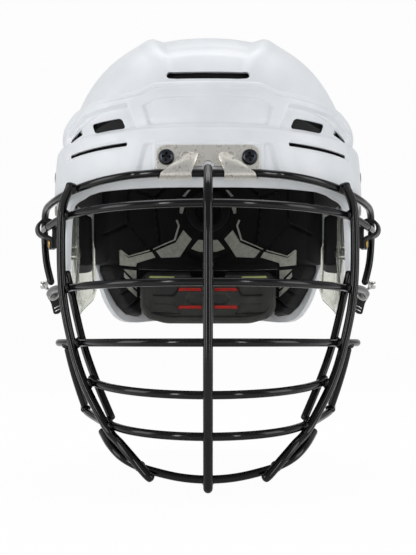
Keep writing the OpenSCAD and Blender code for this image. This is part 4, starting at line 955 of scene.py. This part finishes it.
# Handling and dust dull the gloss in patches of about 5 mm
scuffed = add_node(dipped_black, "ShaderNodeTexNoise", {"Scale": 1 / 0.005, "Detail": 5.0}, place)
add_node(dipped_black, "ShaderNodeMapRange", {"From Min": 0.35, "From Max": 0.7, "To Min": 0.1, "To Max": 0.17},
         {"Value": (scuffed, "Fac")}, "Roughness")


def wire_line(points, steps=8):
    # a smooth line through the points where the wire is bent, in mm
    p = np.array(points, float)
    p = np.vstack([2 * p[:1] - p[1:2], p, 2 * p[-1:] - p[-2:-1]])
    t = np.linspace(0, 1, steps, endpoint=False)[:, None]
    rows = [0.5 * (2 * b + (c - a) * t + (2 * a - 5 * b + 4 * c - d) * t ** 2 + (3 * b - a - 3 * c + d) * t ** 3)
            for a, b, c, d in zip(p, p[1:], p[2:], p[3:])]
    return np.vstack(rows + [p[-2:-1]])


def both_halves(points):
    # a cross wire's bends from end to end, from those of its right half
    return [(-x, y, z) for x, y, z in reversed(points) if x > 0] + list(points)


def rod_along(line, diameter, rounding=1.0):
    # a bar of round section along a line; the dip rounds its ends over a length of rounding radii
    radius, ends = diameter / 2, []
    steps = np.array([0, 0.3, 0.58, 0.8, 0.94, 0.995])
    for tip, before in ((line[0], line[1]), (line[-1], line[-2])):
        way = (tip - before) / np.linalg.norm(tip - before)
        ends.append(tip - way * radius * rounding * (1 - steps[:, None]))
    inner = [p for p in line[1:-1] if min(np.linalg.norm(p - line[0]), np.linalg.norm(p - line[-1])) > radius + 0.3]
    route = np.vstack([ends[0][::-1], inner, ends[1]])
    thick = np.ones(len(route))
    thick[-6:] = np.sqrt(1 - steps ** 2)
    thick[:6] = thick[:-7:-1]
    curve = bpy.data.curves.new("rod", "CURVE")
    curve.dimensions, curve.bevel_depth, curve.bevel_resolution = "3D", radius / 1000, 5
    curve.use_fill_caps = True
    spline = curve.splines.new("POLY")
    spline.points.add(len(route) - 1)
    spline.points.foreach_set("co", np.column_stack([route / 1000, np.ones(len(route))]).ravel())
    spline.points.foreach_set("radius", thick)
    holder = bpy.data.objects.new("rod", curve)
    mesh = bpy.data.meshes.new_from_object(holder)
    shape = bmesh.new()
    shape.from_mesh(mesh)
    bpy.data.objects.remove(holder)
    bpy.data.meshes.remove(mesh)
    bpy.data.curves.remove(curve)
    bmesh.ops.remove_doubles(shape, verts=shape.verts, dist=1e-6)
    bmesh.ops.recalc_face_normals(shape, faces=shape.faces)
    return shape


def weld_bead(first, second):
    # the coated weld where two bars come nearest to each other
    apart = np.linalg.norm(first[:, None] - second[None], axis=2)
    i, j = np.unravel_index(apart.argmin(), apart.shape)
    bead = bmesh.new()
    seat = standing((first[i] + second[j]) / 2000, second[j] - first[i])
    bmesh.ops.create_icosphere(bead, subdivisions=3, radius=0.001, matrix=seat @ Matrix.Diagonal((3.3, 3.3, 2.3, 1)))
    return bead


wire_size, bar_size = 4.8, 5.5
# Where each wire is bent, in mm: the right half of those that cross the face, and the whole of the uprights
top_bends = [(0, hinge_y, hinge_z), (20, hinge_y, hinge_z), (27, hinge_y, hinge_z), (31, -138.3, hinge_z),
             (38.6, -136.4, 6.7), (48, -133.6, 6.2), (65, -123, 4.6), (80.5, -107, 2.5), (94.3, -85, 0),
             (103.7, -62, -1.2), (109, -46, -3.2), (111.4, -36, -11), (111.9, -32, -23), (109.7, -37.5, -38),
             (104.9, -46.5, -53)]
brow_bends = [(0, -158, -13), (25.9, -154, -13), (50, -142.4, -13), (70.4, -123.9, -13), (85.7, -100, -13),
              (94.7, -84, -13.8), (103.3, -67.3, -15.8), (106, -57.7, -15.8), (107.8, -51.5, -15.8),
              (109.6, -45, -15.8), (111.5, -38.5, -15.8)]
eye_bends = [(0, -167, -58.2), (25.7, -162.6, -58.2), (49.5, -149.6, -58.2), (69.7, -129, -58.2),
             (84.8, -102.4, -58.2), (91.3, -90.2, -57.7), (100.7, -66, -57.6), (105.5, -50, -59.5),
             (105.5, -40, -59.5), (105.5, -34, -59.5), (105.5, -29, -59.5)]
nose_bends = [(0, -169, -92), (23.7, -164.6, -92), (45.6, -151.8, -92), (64.2, -131.4, -92), (78.2, -105, -92),
              (82.3, -97, -92), (89.7, -83.5, -92), (95.6, -70, -92), (97.7, -61, -92)]
mouth_bends = [(0, -167, -121), (21, -163.2, -120.7), (40.6, -152.1, -119.8), (57.1, -134.6, -118.2),
               (69.5, -111.8, -116), (73.4, -104.2, -115.5)]
jaw_bends = [(0, -161, -144.4), (17.2, -158.3, -144.2), (33.2, -150.5, -143.6), (46.8, -138.1, -142.6),
             (57, -122, -141.2), (62.2, -111, -140.3), (68.4, -95.5, -139.1), (78.3, -72, -135.8),
             (81.6, -55, -133.2), (82.4, -36, -126.8)]
chin_bends = [(0, -146, -170), (15, -145.4, -169), (29.4, -143, -166.2), (41, -140.5, -162.8), (50.5, -136, -158),
              (58, -126, -152), (64.8, -107, -145.4)]
centre_bends = [(0, -142.5, 10.5), (0, -162.9, -10.9), (0, -172.2, -57.5), (0, -174.3, -92), (0, -172.2, -121.8),
                (0, -165.9, -146.5), (0, -150.1, -173.3), (0, -146.6, -175.4)]
outer_bends = [(83.9, -110.7, 6.1), (84.7, -110.2, 2.5), (90.5, -102.4, -12.8), (89.6, -104.5, -58.5),
               (83, -107, -93), (74.3, -113.7, -117.4), (59.6, -124.6, -142.6), (50.6, -137.4, -150.8),
               (42.8, -144.6, -158.4), (34.8, -148.7, -166.8), (31, -149, -169.8)]
inner_bends = [(89.6, -87.3, -46.5), (87, -87.9, -57), (78, -94.7, -91.2), (69.2, -101.9, -114.4), (58, -108.7, -139)]
brace_bends = [(89.1, -82.6, -94.8), (86.3, -79.4, -107.6), (82.9, -76.1, -120.3), (78.9, -72.9, -133.1)]
cross_wires = {"top_wire": top_bends, "brow_wire": brow_bends, "eye_wire": eye_bends, "nose_wire": nose_bends,
               "mouth_wire": mouth_bends, "jaw_wire": jaw_bends, "chin_wire": chin_bends}
lines = {name: wire_line(both_halves(bends)) for name, bends in cross_wires.items()}
for name, line in lines.items():
    piece(name + "_bent", rod_along(line, wire_size), dipped_black, "cage", (name,))

# Upright bars
# One 5.5 mm bar stands on the middle and one on each side, in front of the cross wires. Thinner inner bars
# and jaw braces stand behind them. Their ends are welded to the wires, and each weld is a small bead.
lines["centre_bar"] = wire_line(centre_bends)
beads = [weld_bead(lines["centre_bar"], lines[name]) for name in
         ("brow_wire", "eye_wire", "nose_wire", "mouth_wire", "jaw_wire", "chin_wire")]
piece("centre_bar_bent", merged([rod_along(lines["centre_bar"], bar_size)] + beads), dipped_black, "cage",
      ("centre_bar",))
uprights = {"outer_bar": (outer_bends, bar_size, tuple(cross_wires)),
            "inner_bar": (inner_bends, wire_size, ("eye_wire", "nose_wire", "mouth_wire", "jaw_wire")),
            "jaw_brace": (brace_bends, wire_size, ("nose_wire", "jaw_wire"))}
for name, (bends, diameter, crossed) in uprights.items():
    line = wire_line(bends)
    parts = [rod_along(line, diameter, 0.7)]
    for other in crossed:
        right_half = lines[other][lines[other][:, 0] > 5]
        parts.append(weld_bead(line, right_half))
    pair("{}_" + name + "_bent", merged(parts), dipped_black, "cage", "{}_" + name)

# Side loops
# A strap of black rubbered leather is folded round each end of the brow wire, and its two ends are closed
# by a brass press stud that snaps on a low post riveted to the front shell.
black_leather = new_material("rubbered_black_leather", Specular_IOR_Level=0.3)
place = {"Vector": (add_node(black_leather, "ShaderNodeTexCoord"), "Object")}
# The rubbered grain is pebbled, 1.1 mm across, and its colour runs from near black in the hollows to a paler grey on
# its high places
pebbles = add_node(black_leather, "ShaderNodeTexVoronoi", {"Scale": 1 / 0.0011}, place, feature="SMOOTH_F1")
add_node(black_leather, "ShaderNodeValToRGB", None, {"Fac": (pebbles, "Distance")}, "Base Color",
         ((0, "#0c0c0e"), (1, "#1c1d20")))
add_node(black_leather, "ShaderNodeBump", {"Strength": 0.35, "Distance": 0.0002}, {"Height": (pebbles, "Distance")},
         "Normal")
# The folds are rubbed smoother in patches of 4 mm
folded = add_node(black_leather, "ShaderNodeTexNoise", {"Scale": 1 / 0.004, "Detail": 2.0}, place)
add_node(black_leather, "ShaderNodeMapRange", {"From Min": 0.3, "From Max": 0.7, "To Min": 0.34, "To Max": 0.6},
         {"Value": (folded, "Fac")}, "Roughness")
brass = new_material("brass", Base_Color=linear("#b99a5b"), Metallic=1.0)
place = {"Vector": (add_node(brass, "ShaderNodeTexCoord"), "Object")}
# Fingers dull the brass in blotches of 1.5 mm
tarnish = add_node(brass, "ShaderNodeTexNoise", {"Scale": 1 / 0.0015, "Detail": 3.0}, place)
add_node(brass, "ShaderNodeMapRange", {"To Min": 0.18, "To Max": 0.5}, {"Value": (tarnish, "Fac")}, "Roughness")
strap_path = wire_line([(-5.65, 0, -13.4), (-5.65, 0, -9), (-5.65, 0, -4.5), (-5.65, 0, 0), (-4.4, 0, 3.6),
                        (-1.6, 0, 5.4), (1.6, 0, 5.4), (4.3, 0, 3.7), (5.65, 0, 0.4), (5.0, 0, -2.9), (2.6, 0, -5.0),
                        (-0.4, 0, -5.6), (-2.9, 0, -7.0), (-3.72, 0, -9.4), (-3.72, 0, -13.4)], 5)
# The loop stands turned by 16 degrees, level with the brow wire's end
loop_turn = Matrix(((0.961, 0.276, 0, 0.1085), (-0.276, 0.961, 0, -0.049), (0, 0, 1, -0.0158), (0, 0, 0, 1)))


def strap_at(u, w, side):
    # u runs across the strap, w along its folded path, and side from one face to the other
    reach = w * (len(strap_path) - 1)
    places = np.arange(len(strap_path))
    x, z = (np.interp(reach, places, strap_path[:, k]) for k in (0, 2))
    ahead = [np.interp(reach + 0.5, places, strap_path[:, k]) - np.interp(reach - 0.5, places, strap_path[:, k])
             for k in (0, 2)]
    size = np.hypot(*ahead)
    half = 0.92 * (side - 0.5) * 2
    return x - ahead[1] / size * half, (u - 0.5) * 12.9, z + ahead[0] / size * half


strap = pad_shape(14, 70, strap_at)
snap = [(0, 0), (2, 0), (2, 3.9), (2.6, 4.0), (3, 4.3), (3, 4.8), (2.5, 5.3), (1.2, 5.4), (0, 5.2)]
cap = turned(snap, (-6.7, 0, -9.8), (1, 0, 0), 36)
stud = turned([(0, 0), (3.25, 0), (3.25, 0.3), (2.9, 0.7), (0, 0.7)], (-7.6, 0, -9.8), (1, 0, 0), 36)
for shape in (strap, cap, stud):
    bmesh.ops.transform(shape, matrix=loop_turn, verts=shape.verts)
for fold in pair("{}_strap_loop", strap, black_leather, "{}_loop", "{}_side_loop", 40):
    soft_edges(fold, 0.0004, 3, 60)
pair("{}_brass_snap", cap, brass, "{}_loop", "{}_loop_snap", 50)
piece("shell_posts_brass", merged([stud, mirrored(stud)]), brass, "front", ("loop_studs",), 50)

# Strap tabs and clips
# On each end of the eye wire hangs a moulded black tab with two steel staples, beside a plated clip whose
# mushroom post takes the socket of a chin strap's snap.
plated = new_material("bright_nickel_plate", Base_Color=linear("#cfcfcb"), Metallic=1.0)
place = {"Vector": (add_node(plated, "ShaderNodeTexCoord"), "Object")}
# Wiping leaves fine hazy streaks in the plate, 2 mm apart
wiped = add_node(plated, "ShaderNodeTexNoise", {"Scale": 1 / 0.002, "Detail": 4.0}, place)
add_node(plated, "ShaderNodeMapRange", {"To Min": 0.08, "To Max": 0.3}, {"Value": (wiped, "Fac")}, "Roughness")
pin = Vector((105.5, -34, -59.5))
lobe = [(4.44 * cos(t), 4.44 * sin(t)) for t in np.linspace(-0.9, radians(205), 30)]
foot = [(-5.75, -4.6), (-5.8, -8.6), (-4.9, -11.2), (-3.1, -12.7), (-0.9, -13), (0, -12.4), (1.6, -6.0)]
tab = prism([(pin.x + x, pin.z + z) for x, z in lobe + foot], pin.y + 0.25, pin.y + 3.55)
staples = merged([rod_along(np.array([pin + Vector(p) for p in route], float), 0.9) for route in (
    [(-5.6, 0.3, -6.4), (-4, 0.1, -7.3), (-2.4, 0.05, -8.1), (-0.6, 0.25, -9.2)],
    [(-5.4, 0.3, -8.9), (-4, 0.1, -9.7), (-2.6, 0.05, -10.4), (-1.2, 0.25, -11.2)])])
collar = turned([(2.56, -3.5), (3.7, -3.5), (3.98, -3.2), (3.98, -0.5), (3.7, -0.2), (2.56, -0.2), (2.56, -3.5)],
                pin, (0, 1, 0))
arm = bmesh.new()
bmesh.ops.create_cube(arm, size=1, matrix=Matrix.Translation(pin / 1000) @ Matrix.Rotation(radians(40), 4, "Y")
                      @ Matrix.Translation((0, -0.00185, 0.0047)) @ Matrix.Diagonal((0.0015, 0.0033, 0.0036, 1)))
bmesh.ops.bevel(arm, geom=arm.edges[:], offset=0.00035, segments=3, affect="EDGES", profile=0.5, material=-1)
mushroom = [(0, 0), (3.0, 0), (3.2, 0.2), (3.2, 1.2), (2.9, 1.4), (2.15, 1.5), (2.1, 1.75), (2.45, 1.85), (2.6, 2.2),
            (2.6, 4.1), (2.3, 4.55), (1.6, 4.7), (0, 4.7)]
post = turned(mushroom, pin + Vector((3.6, -3.3, 6.6)), (1, 0, 0), 40)
hangers = pair("{}_tab_moulding", tab, black_leather, "{}_tab", "{}_strap_tab", 40)
for side, hanger in zip((-1, 1), hangers):
    carve(hanger, rod_shape((side * pin.x, pin.y - 2, pin.z), (side * pin.x, pin.y + 6, pin.z), 2.52), crease=40)
    soft_edges(hanger, 0.0005, 3, 50)
pair("{}_tab_staples", staples, plated, "{}_tab")
pair("{}_clip_plated", merged([collar, arm, post]), plated, "{}_clip", "{}_snap_clip", 40)
